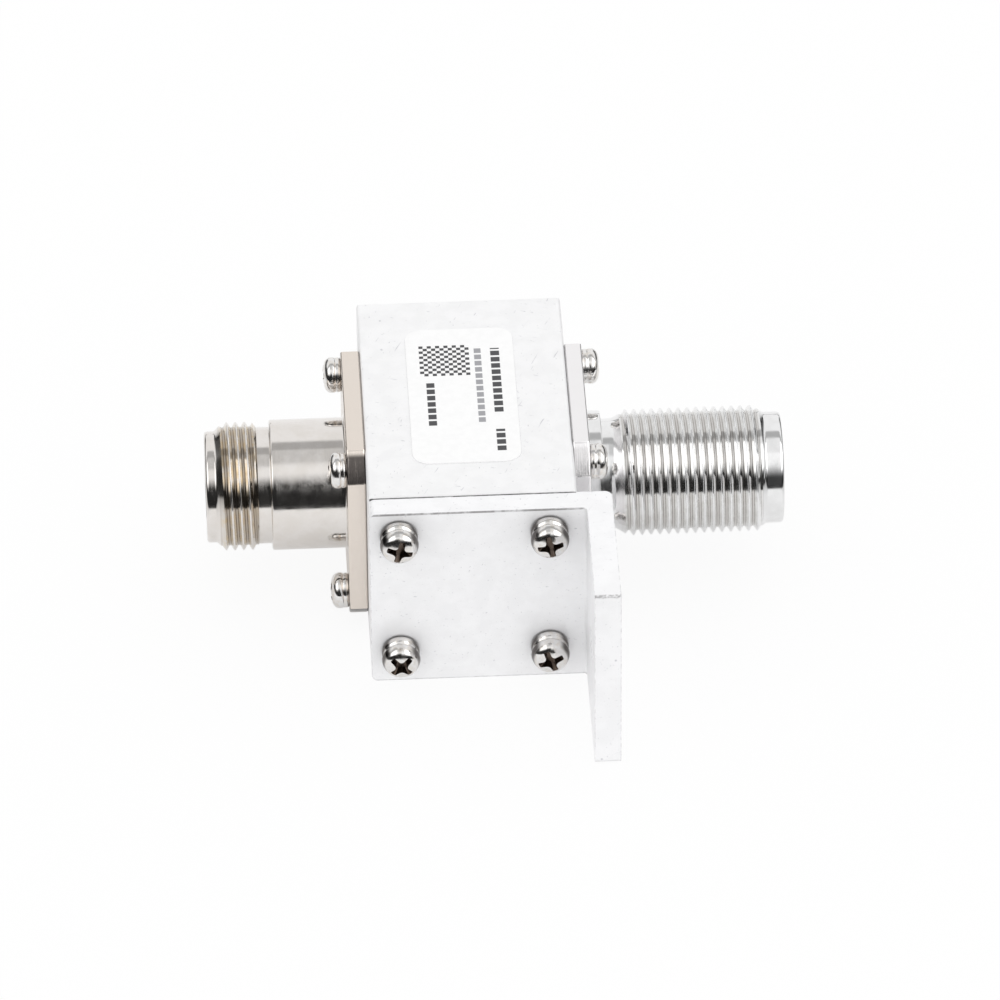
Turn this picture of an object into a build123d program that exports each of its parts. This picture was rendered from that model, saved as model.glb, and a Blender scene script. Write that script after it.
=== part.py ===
from build123d import *
from math import radians, tan
import os

# Coax lightning arrestor. An aluminium block carries one straight coax line along X, with a
# threaded jack on each end, and a gas discharge tube from the line to the block. A bracket is
# screwed to the front face, -Y. The origin is the middle of the face that it rests on.

# Housing block
block_length = 25.2
block_depth = 38.6
block_height = 25.8
block_edge = 0.4
axis_rise = 0.2
line_bore = 11.0

# Label on the top face
label_length = 26.3
label_width = 13.2
label_corner = 2.0
label_thickness = 0.12
label_shift_x = -0.3
label_shift_y = 0.2

# Bracket, an extruded angle
bracket_thickness = 3.18
leg_overhang = 4.2
leg_reach = 20.1
bracket_outer_corner = 1.0
bracket_inner_corner = 0.4
plate_end_corner = 0.8
leg_end_corner = 0.35
leg_hole = 4.1
leg_hole_from_block = 13.3

# Cross-recess screws and their split spring washers
screw_shank = 2.84
screw_grip = 4.8
flange_head_diameter = 4.5
bracket_head_diameter = 4.7
head_dome = 0.45
head_rim_edge = 0.75
head_base_edge = 0.25
flange_head_wall = 1.1
bracket_head_wall = 1.6
recess_span = 3.2
recess_width = 0.88
recess_corner = 0.45
recess_depth = 1.0
recess_taper = 12
screw_clearance = 0.05
plate_clearance = 0.13
hole_run_out = 1.0
washer_inset = 0.05
washer_clearance = 0.08
washer_edge = 0.3
washer_split = 0.3
washer_split_lean = 20
flange_washer_thickness = 0.7
bracket_washer_thickness = 1.6

# Screw patterns
flange_screw_margin = 3.35
bracket_screw_spacing_x = 18.15
bracket_screw_spacing_z = 17.85
bracket_screw_rise = 0.63

# Angle of each screw's cross, in degrees
bracket_screw_turns = (45, 75, 22, 12)
left_screw_turns = (10, 35, 70, 55)
right_screw_turns = (25, 80, 5, 48)

# Square flanges of the two jacks; the corners are left round from the turned bar
flange_shortfall = 0.3
flange_bar_margin = 6.5
flange_edge = 0.25
left_flange_thickness = 2.3
right_flange_thickness = 2.1

# Outside of both jacks
thread_pitch = 1.09
thread_depth = 0.55
thread_crest = 0.14
thread_flank = 60
thread_chamfer = 0.55
rim_diameter = 13.65
rim_edge = 0.45

# Left jack, measured outwards from its flange
left_barrel_diameter = 16.0
left_barrel_length = 9.3
left_barrel_chamfer = 0.35
left_relief_diameter = 14.3
left_relief_length = 1.4
left_thread_diameter = 15.75
left_thread_length = 4.65
left_taper_length = 0.5
left_rim_length = 1.25

# Right jack, measured outwards from its flange
right_collar_diameter = 15.5
right_collar_length = 1.9
right_neck_diameter = 13.4
right_neck_length = 1.5
right_flare_length = 1.6
right_thread_diameter = 15.5
right_thread_length = 16.4
right_taper_length = 0.45
right_rim_length = 2.2

# Mating parts inside each jack
mouth_bore = 8.4
mouth_depth = 9.15
mouth_chamfer = 0.3
lip_bore = 7.0
lip_length = 1.6
insulator_clearance = 0.04
spigot_clearance = 0.1
spigot_wall = 0.8
spigot_length = 1.8
contact_diameter = 3.04
contact_clearance = 0.02
contact_recess = 4.3
contact_nose = 0.25
socket_bore = 1.65
socket_depth = 6.0
socket_slot_width = 0.3
socket_slot_depth = 4.4
stub_diameter = 2.0
stub_length = 3.4

# Seals between flange and block
seal_land = 0.8
seal_width = 1.4
seal_thickness = 0.8
seal_clearance = 0.1

# Line rods and the capacitor between them
rod_diameter = 4.8
rod_pad_step = 0.6
rod_pad_thickness = 0.8
capacitor_rim = 0.4
capacitor_thickness = 1.6
capacitor_edge = 0.25

# Gas discharge tube, across the line towards the front
tube_offset = 5.8
tube_diameter = 8.0
tube_wall = 0.9
tube_length = 4.4
tube_clearance = 0.15
electrode_thickness = 1.0
electrode_nose_diameter = 3.6
spark_gap = 1.0
contact_pin_diameter = 1.8
pin_seat_depth = 0.5
pin_seat_clearance = 0.1
first_electrode_gap = 0.6
spring_inset = 0.3
spring_width = 1.6
spring_stock = 0.45
spring_cone = 0.5
plug_shoulder = 0.75
plug_clearance = 0.05
plug_recess = 0.2
plug_slot_width = 1.2
plug_slot_depth = 1.4

# Sizes and positions that follow
clearance_hole = screw_shank + 2 * plate_clearance
flange_width = block_height - flange_shortfall
flange_bar_diameter = flange_width + flange_bar_margin
flange_screw_spacing = flange_width - 2 * flange_screw_margin
left_thread_start = left_flange_thickness + left_barrel_length + left_relief_length
right_thread_start = right_flange_thickness + right_collar_length + right_neck_length + right_flare_length
groove_rise = thread_crest / 4 * tan(radians(thread_flank))
spigot_diameter = line_bore - 2 * spigot_clearance
insulator_bore = spigot_diameter - 2 * spigot_wall
seal_inner = line_bore + 2 * seal_land
rod_pad_diameter = rod_diameter + 2 * rod_pad_step
capacitor_diameter = rod_pad_diameter + 2 * capacitor_rim
tube_bore = tube_diameter + 2 * tube_clearance
spring_outer = tube_diameter - 2 * spring_inset
spring_inner = spring_outer - 2 * spring_width
plug_bore = tube_bore + 2 * plug_shoulder
plug_diameter = plug_bore - 2 * plug_clearance
axis_height = block_height / 2 + axis_rise
block_front = -block_depth / 2
plate_front = block_front - bracket_thickness
half_length = block_length / 2
tube_start = line_bore / 2 + first_electrode_gap
tube_end = tube_start + 2 * electrode_thickness + tube_length
spring_height = spring_stock + spring_cone
plug_start = tube_end + 2 * spring_height
line_axis = Axis((0, 0, axis_height), (1, 0, 0))
tube_axis = Axis((-tube_offset, 0, axis_height), (0, 1, 0))


def profile_plane(side):
    # Plane through the line axis: local X runs outwards from the block's end, local Y is radius.
    return Plane((side * half_length, 0, axis_height), x_dir=(side, 0, 0), z_dir=(0, -side, 0))


def end_plane(side, distance=0):
    # Plane across the line axis, at a distance outwards from the block's end.
    spot = (side * (half_length + distance), 0, axis_height)
    return Plane(spot, x_dir=(0, side, 0), z_dir=(side, 0, 0))


def front_plane(y, z=axis_height):
    # Upright plane that faces the front, with local X to the right.
    return Plane((0, y, z), x_dir=(1, 0, 0), z_dir=(0, -1, 0))


def turned(plane, axis, outline):
    # Solid of revolution from an outline of (along, radius) points.
    with BuildPart() as turning:
        with BuildSketch(plane):
            with BuildLine():
                Polyline(*outline, close=True)
            make_face()
        revolve(axis=axis)
    return turning.part


def finish(piece, name):
    piece.label = name
    export_step(piece, "parts/" + name + ".step")


def make_housing():
    hole_depth = screw_grip + hole_run_out
    with BuildPart() as housing_block:
        with BuildSketch():
            Rectangle(block_length, block_depth)
        extrude(amount=block_height)
        fillet(housing_block.edges(), radius=block_edge)
        with BuildSketch(end_plane(-1)):
            Circle(line_bore / 2)
        extrude(amount=-block_length, mode=Mode.SUBTRACT)
        for side in (-1, 1):
            with BuildSketch(end_plane(side)):
                Circle(seal_inner / 2 + seal_width + seal_clearance)
                Circle(seal_inner / 2 - seal_clearance, mode=Mode.SUBTRACT)
            extrude(amount=-seal_thickness, mode=Mode.SUBTRACT)
            with BuildSketch(end_plane(side)):
                with GridLocations(flange_screw_spacing, flange_screw_spacing, 2, 2):
                    Circle(screw_shank / 2 + screw_clearance)
            extrude(amount=-hole_depth, mode=Mode.SUBTRACT)
        with BuildSketch(front_plane(block_front, axis_height + bracket_screw_rise)):
            with GridLocations(bracket_screw_spacing_x, bracket_screw_spacing_z, 2, 2):
                Circle(screw_shank / 2 + screw_clearance)
        extrude(amount=-hole_depth, mode=Mode.SUBTRACT)
        with BuildSketch(front_plane(block_front)):
            with Locations((-tube_offset, 0)):
                Circle(tube_bore / 2)
        extrude(amount=-(block_depth / 2), mode=Mode.SUBTRACT)
        with BuildSketch(front_plane(block_front)):
            with Locations((-tube_offset, 0)):
                Circle(plug_bore / 2)
        extrude(amount=-(block_depth / 2 - plug_start), mode=Mode.SUBTRACT)
    finish(housing_block.part, "housing_block")


def make_label():
    with BuildPart() as label:
        with BuildSketch(Plane.XY.offset(block_height)):
            with Locations((label_shift_x, label_shift_y)):
                RectangleRounded(label_width, label_length, label_corner)
        extrude(amount=label_thickness)
    finish(label.part, "label")


def make_bracket():
    leg_right = half_length + leg_overhang
    leg_left = leg_right - bracket_thickness
    leg_tip = block_front - leg_reach
    with BuildPart() as mounting_bracket:
        with BuildSketch() as section:
            with BuildLine():
                Polyline(
                    (-half_length, block_front),
                    (leg_right, block_front),
                    (leg_right, leg_tip),
                    (leg_left, leg_tip),
                    (leg_left, plate_front),
                    (-half_length, plate_front),
                    close=True,
                )
            make_face()
            outer = section.vertices().sort_by_distance((leg_right, block_front))[0]
            fillet(outer, radius=bracket_outer_corner)
            inner = section.vertices().sort_by_distance((leg_left, plate_front))[0]
            fillet(inner, radius=bracket_inner_corner)
        extrude(amount=block_height)
        plate_end = mounting_bracket.faces().sort_by(Axis.X)[0]
        leg_end = mounting_bracket.faces().sort_by(Axis.Y)[0]
        fillet(plate_end.edges().filter_by(Axis.Y), radius=plate_end_corner)
        fillet(leg_end.edges().filter_by(Axis.X), radius=leg_end_corner)
        with BuildSketch(front_plane(plate_front, axis_height + bracket_screw_rise)):
            with GridLocations(bracket_screw_spacing_x, bracket_screw_spacing_z, 2, 2):
                Circle(clearance_hole / 2)
        extrude(amount=-bracket_thickness, mode=Mode.SUBTRACT)
        with BuildSketch(Plane.YZ.offset(leg_left)):
            with Locations((block_front - leg_hole_from_block, axis_height)):
                Circle(leg_hole / 2)
        extrude(amount=bracket_thickness, mode=Mode.SUBTRACT)
    finish(mounting_bracket.part, "mounting_bracket")


def make_screw(head_radius, head_wall, grip):
    # One screw on the Z axis: the head stands on z = 0 and the shank goes down through its grip.
    head_height = head_wall + head_dome
    dome_radius = (head_radius**2 + head_dome**2) / (2 * head_dome)
    with BuildPart() as screw:
        with BuildSketch(Plane.XZ) as half_head:
            with BuildLine():
                Polyline((0, head_height), (0, 0), (head_radius, 0), (head_radius, head_wall))
                RadiusArc((head_radius, head_wall), (0, head_height), -dome_radius)
            make_face()
            rim = half_head.vertices().sort_by_distance((head_radius, head_wall))[0]
            fillet(rim, radius=head_rim_edge)
            base = half_head.vertices().sort_by_distance((head_radius, 0))[0]
            fillet(base, radius=head_base_edge)
        revolve(axis=Axis.Z)
        with BuildSketch(Plane.XY.offset(head_height)) as cross:
            Rectangle(recess_span, recess_width)
            Rectangle(recess_width, recess_span)
            inner_corners = cross.vertices().sort_by_distance((0, 0, head_height))[:4]
            fillet(inner_corners, radius=recess_corner)
        extrude(amount=-recess_depth, taper=recess_taper, mode=Mode.SUBTRACT)
        with BuildSketch():
            Circle(screw_shank / 2)
        extrude(amount=-grip)
    return screw.part


def make_washer(head_radius, thickness):
    # Spring washer on z = 0, split by a leaning cut on its lower side.
    outer = head_radius - washer_inset
    with BuildPart() as washer:
        with BuildSketch():
            Circle(outer)
            Circle(screw_shank / 2 + washer_clearance, mode=Mode.SUBTRACT)
        extrude(amount=thickness)
        outer_rims = washer.edges().sort_by(SortBy.LENGTH)[-2:]
        fillet(outer_rims, radius=washer_edge)
        with BuildSketch(Plane.XZ):
            with Locations((0, thickness / 2)):
                Rectangle(washer_split, 2 * thickness, rotation=washer_split_lean)
        extrude(amount=outer, mode=Mode.SUBTRACT)
    return washer.part


def place_fasteners(name, plane, spacing_x, spacing_y, head, head_wall, washer_thickness, plate, turns):
    # Four screws with a spring washer each, on the outer face of a plate; turns are their angles.
    screw = make_screw(head / 2, head_wall, washer_thickness + plate + screw_grip)
    washer = make_washer(head / 2, washer_thickness)
    raised = plane.offset(washer_thickness)
    spots = [(x * spacing_x / 2, y * spacing_y / 2) for x in (-1, 1) for y in (-1, 1)]
    with BuildPart() as screws:
        for spot, turn in zip(spots, turns):
            with Locations(raised * Location(spot)):
                add(screw, rotation=(0, 0, turn))
    with BuildPart() as washers:
        for spot, turn in zip(spots, turns):
            with Locations(plane * Location(spot)):
                add(washer, rotation=(0, 0, turn / 2))
    finish(screws.part, name + "_screws")
    finish(washers.part, name + "_washers")


def make_jack(name, side, outline, thread, flange_thickness):
    # Flange, threaded barrel and rear spigot are one turned piece, bored through in steps.
    # Rings at the thread's pitch stand in for its helix, centred on the threaded length.
    thread_start, thread_length, thread_diameter = thread
    reach = max(point[0] for point in outline)
    lip = reach - mouth_depth
    plane = profile_plane(side)
    with BuildPart() as shell:
        with BuildSketch(end_plane(side)):
            Rectangle(flange_width, flange_width)
            Circle(flange_bar_diameter / 2, mode=Mode.INTERSECT)
        extrude(amount=flange_thickness)
        fillet(shell.faces().sort_by(Axis.X)[0].edges(), radius=flange_edge)
        fillet(shell.faces().sort_by(Axis.X)[-1].edges(), radius=flange_edge)
        with BuildSketch(plane) as barrel:
            with BuildLine():
                Polyline(*outline, close=True)
            make_face()
            tip = barrel.vertices().sort_by_distance(plane.from_local_coords((reach, rim_diameter / 2)))[0]
            fillet(tip, radius=rim_edge)
        revolve(axis=line_axis)
        with BuildSketch(plane):
            with Locations((thread_start + thread_length / 2, thread_diameter / 2 + groove_rise)):
                with GridLocations(thread_pitch, 0, int(thread_length / thread_pitch), 1):
                    Trapezoid(
                        thread_pitch - thread_crest / 2,
                        thread_depth + groove_rise,
                        thread_flank,
                        rotation=180,
                        align=(Align.CENTER, Align.MIN),
                    )
        revolve(axis=line_axis, mode=Mode.SUBTRACT)
        with BuildSketch(plane):
            with BuildLine():
                Polyline(
                    (reach, 0),
                    (reach, mouth_bore / 2 + mouth_chamfer),
                    (reach - mouth_chamfer, mouth_bore / 2),
                    (lip, mouth_bore / 2),
                    (lip, lip_bore / 2),
                    (lip - lip_length, lip_bore / 2),
                    (lip - lip_length, insulator_bore / 2),
                    (-spigot_length, insulator_bore / 2),
                    (-spigot_length, 0),
                    close=True,
                )
            make_face()
        revolve(axis=line_axis, mode=Mode.SUBTRACT)
        with BuildSketch(end_plane(side)):
            with GridLocations(flange_screw_spacing, flange_screw_spacing, 2, 2):
                Circle(clearance_hole / 2)
        extrude(amount=flange_thickness, mode=Mode.SUBTRACT)
    finish(shell.part, name + "_jack_shell")

    nose = lip_bore / 2 - insulator_clearance
    body = insulator_bore / 2 - insulator_clearance
    bore = contact_diameter / 2 + contact_clearance
    insulator = turned(plane, line_axis, [
        (-spigot_length, bore),
        (-spigot_length, body),
        (lip - lip_length, body),
        (lip - lip_length, nose),
        (lip, nose),
        (lip, bore),
    ])
    finish(insulator, name + "_insulator")
    make_contact(name, side, reach - contact_recess)


def make_end(name, side, outline, thread, flange_thickness, turns):
    # All that is fitted to one end of the block: jack, seal, and the flange's four screws.
    make_jack(name, side, outline, thread, flange_thickness)
    make_seal(name, side)
    place_fasteners(
        name + "_flange",
        end_plane(side, flange_thickness),
        flange_screw_spacing,
        flange_screw_spacing,
        flange_head_diameter,
        flange_head_wall,
        flange_washer_thickness,
        flange_thickness,
        turns,
    )


def make_contact(name, side, tip):
    # Socket on the axis: open nose with four slots, solid body, and a thinner stub for the rod.
    plane = profile_plane(side)
    socket = socket_bore / 2
    outer = contact_diameter / 2
    with BuildPart() as contact:
        with BuildSketch(plane):
            with BuildLine():
                Polyline(
                    (tip, socket),
                    (tip, outer - contact_nose),
                    (tip - contact_nose, outer),
                    (-spigot_length, outer),
                    (-spigot_length, stub_diameter / 2),
                    (-spigot_length - stub_length, stub_diameter / 2),
                    (-spigot_length - stub_length, 0),
                    (tip - socket_depth, 0),
                    (tip - socket_depth, socket),
                    close=True,
                )
            make_face()
        revolve(axis=line_axis)
        with BuildSketch(end_plane(side, tip)):
            Rectangle(contact_diameter, socket_slot_width)
            Rectangle(socket_slot_width, contact_diameter)
        extrude(amount=-socket_slot_depth, mode=Mode.SUBTRACT)
    finish(contact.part, name + "_contact")


def make_seal(name, side):
    with BuildPart() as seal:
        with BuildSketch(end_plane(side)):
            Circle(seal_inner / 2 + seal_width)
            Circle(seal_inner / 2, mode=Mode.SUBTRACT)
        extrude(amount=-seal_thickness)
    finish(seal.part, name + "_seal")


def left_outline():
    thread = left_thread_diameter / 2
    barrel = left_barrel_diameter / 2
    relief = left_relief_diameter / 2
    barrel_end = left_flange_thickness + left_barrel_length
    thread_end = left_thread_start + left_thread_length
    rim_start = thread_end + left_taper_length
    rim_end = rim_start + left_rim_length
    return [
        (-spigot_length, 0),
        (-spigot_length, spigot_diameter / 2),
        (0, spigot_diameter / 2),
        (0, barrel),
        (barrel_end - left_barrel_chamfer, barrel),
        (barrel_end, barrel - left_barrel_chamfer),
        (barrel_end, relief),
        (left_thread_start, relief),
        (left_thread_start + thread_chamfer, thread),
        (thread_end - thread_chamfer, thread),
        (rim_start, rim_diameter / 2),
        (rim_end, rim_diameter / 2),
        (rim_end, 0),
    ]


def right_outline():
    thread = right_thread_diameter / 2
    collar = right_collar_diameter / 2
    neck = right_neck_diameter / 2
    collar_end = right_flange_thickness + right_collar_length
    neck_end = collar_end + right_neck_length
    thread_end = right_thread_start + right_thread_length
    rim_start = thread_end + right_taper_length
    rim_end = rim_start + right_rim_length
    return [
        (-spigot_length, 0),
        (-spigot_length, spigot_diameter / 2),
        (0, spigot_diameter / 2),
        (0, collar),
        (collar_end, collar),
        (collar_end, neck),
        (neck_end, neck),
        (right_thread_start, thread),
        (thread_end - thread_chamfer, thread),
        (rim_start, rim_diameter / 2),
        (rim_end, rim_diameter / 2),
        (rim_end, 0),
    ]


def make_line():
    # Two rods butt on the capacitor disc; each takes the stub of its jack's contact.
    stub_hole = stub_diameter / 2 + contact_clearance
    pad = capacitor_thickness / 2
    outer_end = half_length - spigot_length
    outline = [
        (pad, 0),
        (pad, rod_pad_diameter / 2),
        (pad + rod_pad_thickness, rod_pad_diameter / 2),
        (pad + rod_pad_thickness, rod_diameter / 2),
        (outer_end, rod_diameter / 2),
        (outer_end, stub_hole),
        (outer_end - stub_length, stub_hole),
        (outer_end - stub_length, 0),
    ]
    for name, side in (("left", -1), ("right", 1)):
        middle = Plane((0, 0, axis_height), x_dir=(side, 0, 0), z_dir=(0, -side, 0))
        with BuildPart() as rod:
            with BuildSketch(middle):
                with BuildLine():
                    Polyline(*outline, close=True)
                make_face()
            revolve(axis=line_axis)
            if name == "left":
                with BuildSketch(front_plane(-rod_diameter / 2)):
                    with Locations((-tube_offset, 0)):
                        Circle(contact_pin_diameter / 2 + pin_seat_clearance)
                extrude(amount=-pin_seat_depth, mode=Mode.SUBTRACT)
        finish(rod.part, name + "_line_rod")

    with BuildPart() as blocking_capacitor:
        with BuildSketch(Plane.YZ.offset(-capacitor_thickness / 2)):
            with Locations((0, axis_height)):
                Circle(capacitor_diameter / 2)
        extrude(amount=capacitor_thickness)
        rims = blocking_capacitor.edges().filter_by(GeomType.CIRCLE)
        fillet(rims, radius=capacitor_edge)
    finish(blocking_capacitor.part, "blocking_capacitor")


def make_surge_tube():
    # Tube outline in (distance from the line axis, radius), drawn towards the front.
    plane = Plane((-tube_offset, 0, axis_height), x_dir=(0, -1, 0), z_dir=(-1, 0, 0))
    wall = tube_diameter / 2
    ring_start = tube_start + electrode_thickness
    ring_end = ring_start + tube_length
    nose_length = (tube_length - spark_gap) / 2
    nose = electrode_nose_diameter / 2
    pin = contact_pin_diameter / 2

    ring = turned(plane, tube_axis, [
        (ring_start, wall - tube_wall),
        (ring_start, wall),
        (ring_end, wall),
        (ring_end, wall - tube_wall),
    ])
    finish(ring, "surge_tube_shell")
    line_electrode = turned(plane, tube_axis, [
        (rod_diameter / 2 - pin_seat_depth, 0),
        (rod_diameter / 2 - pin_seat_depth, pin),
        (tube_start, pin),
        (tube_start, wall),
        (ring_start, wall),
        (ring_start, nose),
        (ring_start + nose_length, nose),
        (ring_start + nose_length, 0),
    ])
    finish(line_electrode, "surge_tube_line_electrode")
    ground_electrode = turned(plane, tube_axis, [
        (ring_end - nose_length, 0),
        (ring_end - nose_length, nose),
        (ring_end, nose),
        (ring_end, wall),
        (tube_end, wall),
        (tube_end, 0),
    ])
    finish(ground_electrode, "surge_tube_ground_electrode")

    inner = spring_inner / 2
    outer = spring_outer / 2
    with BuildPart() as contact_springs:
        for foot, lean in ((tube_end, 1), (plug_start, -1)):
            with BuildSketch(plane):
                with BuildLine():
                    Polyline(
                        (foot, inner),
                        (foot + lean * spring_cone, outer),
                        (foot + lean * spring_height, outer),
                        (foot + lean * spring_stock, inner),
                        close=True,
                    )
                make_face()
            revolve(axis=tube_axis)
    finish(contact_springs.part, "contact_springs")

    plug_face = block_front + plug_recess
    with BuildPart() as surge_plug:
        with BuildSketch(front_plane(plug_face)):
            with Locations((-tube_offset, 0)):
                Circle(plug_diameter / 2)
        extrude(amount=-(block_depth / 2 - plug_recess - plug_start))
        with BuildSketch(front_plane(plug_face)):
            with Locations((-tube_offset, 0)):
                Rectangle(plug_diameter, plug_slot_width)
        extrude(amount=-plug_slot_depth, mode=Mode.SUBTRACT)
    finish(surge_plug.part, "surge_plug")


os.makedirs("parts", exist_ok=True)
make_housing()
make_label()
make_bracket()
make_line()
make_surge_tube()
place_fasteners(
    "bracket",
    front_plane(plate_front, axis_height + bracket_screw_rise),
    bracket_screw_spacing_x,
    bracket_screw_spacing_z,
    bracket_head_diameter,
    bracket_head_wall,
    bracket_washer_thickness,
    bracket_thickness,
    bracket_screw_turns,
)
make_end(
    "left",
    -1,
    left_outline(),
    (left_thread_start, left_thread_length, left_thread_diameter),
    left_flange_thickness,
    left_screw_turns,
)
make_end(
    "right",
    1,
    right_outline(),
    (right_thread_start, right_thread_length, right_thread_diameter),
    right_flange_thickness,
    right_screw_turns,
)
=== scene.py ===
"""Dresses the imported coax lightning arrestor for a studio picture.

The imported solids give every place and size. The two jack shells are rebuilt here with their real
threads, the twelve screws with rounder heads and deeper crosses, and their spring washers with
rounder sections. Every other node keeps its solid and gets a finish.
All lengths in the classes are in millimetres, and the scene itself is in metres.
"""

import logging
import math
from dataclasses import dataclass
from enum import Enum
from typing import Callable, Sequence, Union

import bmesh
import bpy
from mathutils import Matrix, Vector

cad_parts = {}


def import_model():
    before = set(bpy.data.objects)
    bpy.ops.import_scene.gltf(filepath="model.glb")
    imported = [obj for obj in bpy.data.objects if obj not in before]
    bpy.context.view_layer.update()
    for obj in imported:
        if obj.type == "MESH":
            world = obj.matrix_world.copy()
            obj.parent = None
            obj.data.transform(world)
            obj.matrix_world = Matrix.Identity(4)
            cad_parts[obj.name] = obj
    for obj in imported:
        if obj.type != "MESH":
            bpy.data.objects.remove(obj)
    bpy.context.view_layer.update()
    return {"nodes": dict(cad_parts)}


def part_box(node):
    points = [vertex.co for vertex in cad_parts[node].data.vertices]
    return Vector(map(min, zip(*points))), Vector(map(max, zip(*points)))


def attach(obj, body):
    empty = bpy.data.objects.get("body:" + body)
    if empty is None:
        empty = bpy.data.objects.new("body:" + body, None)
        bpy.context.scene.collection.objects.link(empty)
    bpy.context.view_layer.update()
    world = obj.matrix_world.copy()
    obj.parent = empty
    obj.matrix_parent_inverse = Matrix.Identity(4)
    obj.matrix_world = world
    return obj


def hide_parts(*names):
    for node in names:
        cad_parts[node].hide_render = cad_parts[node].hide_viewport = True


MM = 0.001
WELD = 1e-4
SHORTEST_EDGE = 1e-5
GAP_SAMPLES = 6
EDGE_SAMPLES = 4
log = logging.getLogger("arrestor")

Colour = tuple[float, float, float]
Triple = tuple[float, float, float]
Point = tuple[float, float]
Span = tuple[float, float]
Ramp = tuple[float, float, float, float]
Socket = bpy.types.NodeSocket
Source = Union[float, Triple, Vector, Socket]


class Side(Enum):
    """End of the block, as the sign of its X direction."""

    LEFT = -1
    RIGHT = 1


class Facing(Enum):
    """Direction in which a screw's head looks."""

    LEFT = "left"
    RIGHT = "right"
    FRONT = "front"

    def turn(self) -> Matrix:
        """Works out how a screw drawn on +Z, with +Y up, is turned to this direction.

        Returns:
            The rotation.
        """
        out, right = {
            Facing.LEFT: (Vector((-1, 0, 0)), Vector((0, -1, 0))),
            Facing.RIGHT: (Vector((1, 0, 0)), Vector((0, 1, 0))),
            Facing.FRONT: (Vector((0, -1, 0)), Vector((1, 0, 0))),
        }[self]
        return Matrix((right, out.cross(right), out)).transposed()


# Shader building


@dataclass(frozen=True)
class Cloud:
    """Cloud noise in features per millimetre, and the limits between which it fades in."""

    scale: float
    detail: float = 2.0
    rough: float = 0.5
    low: float = 0.3
    high: float = 0.7


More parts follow.
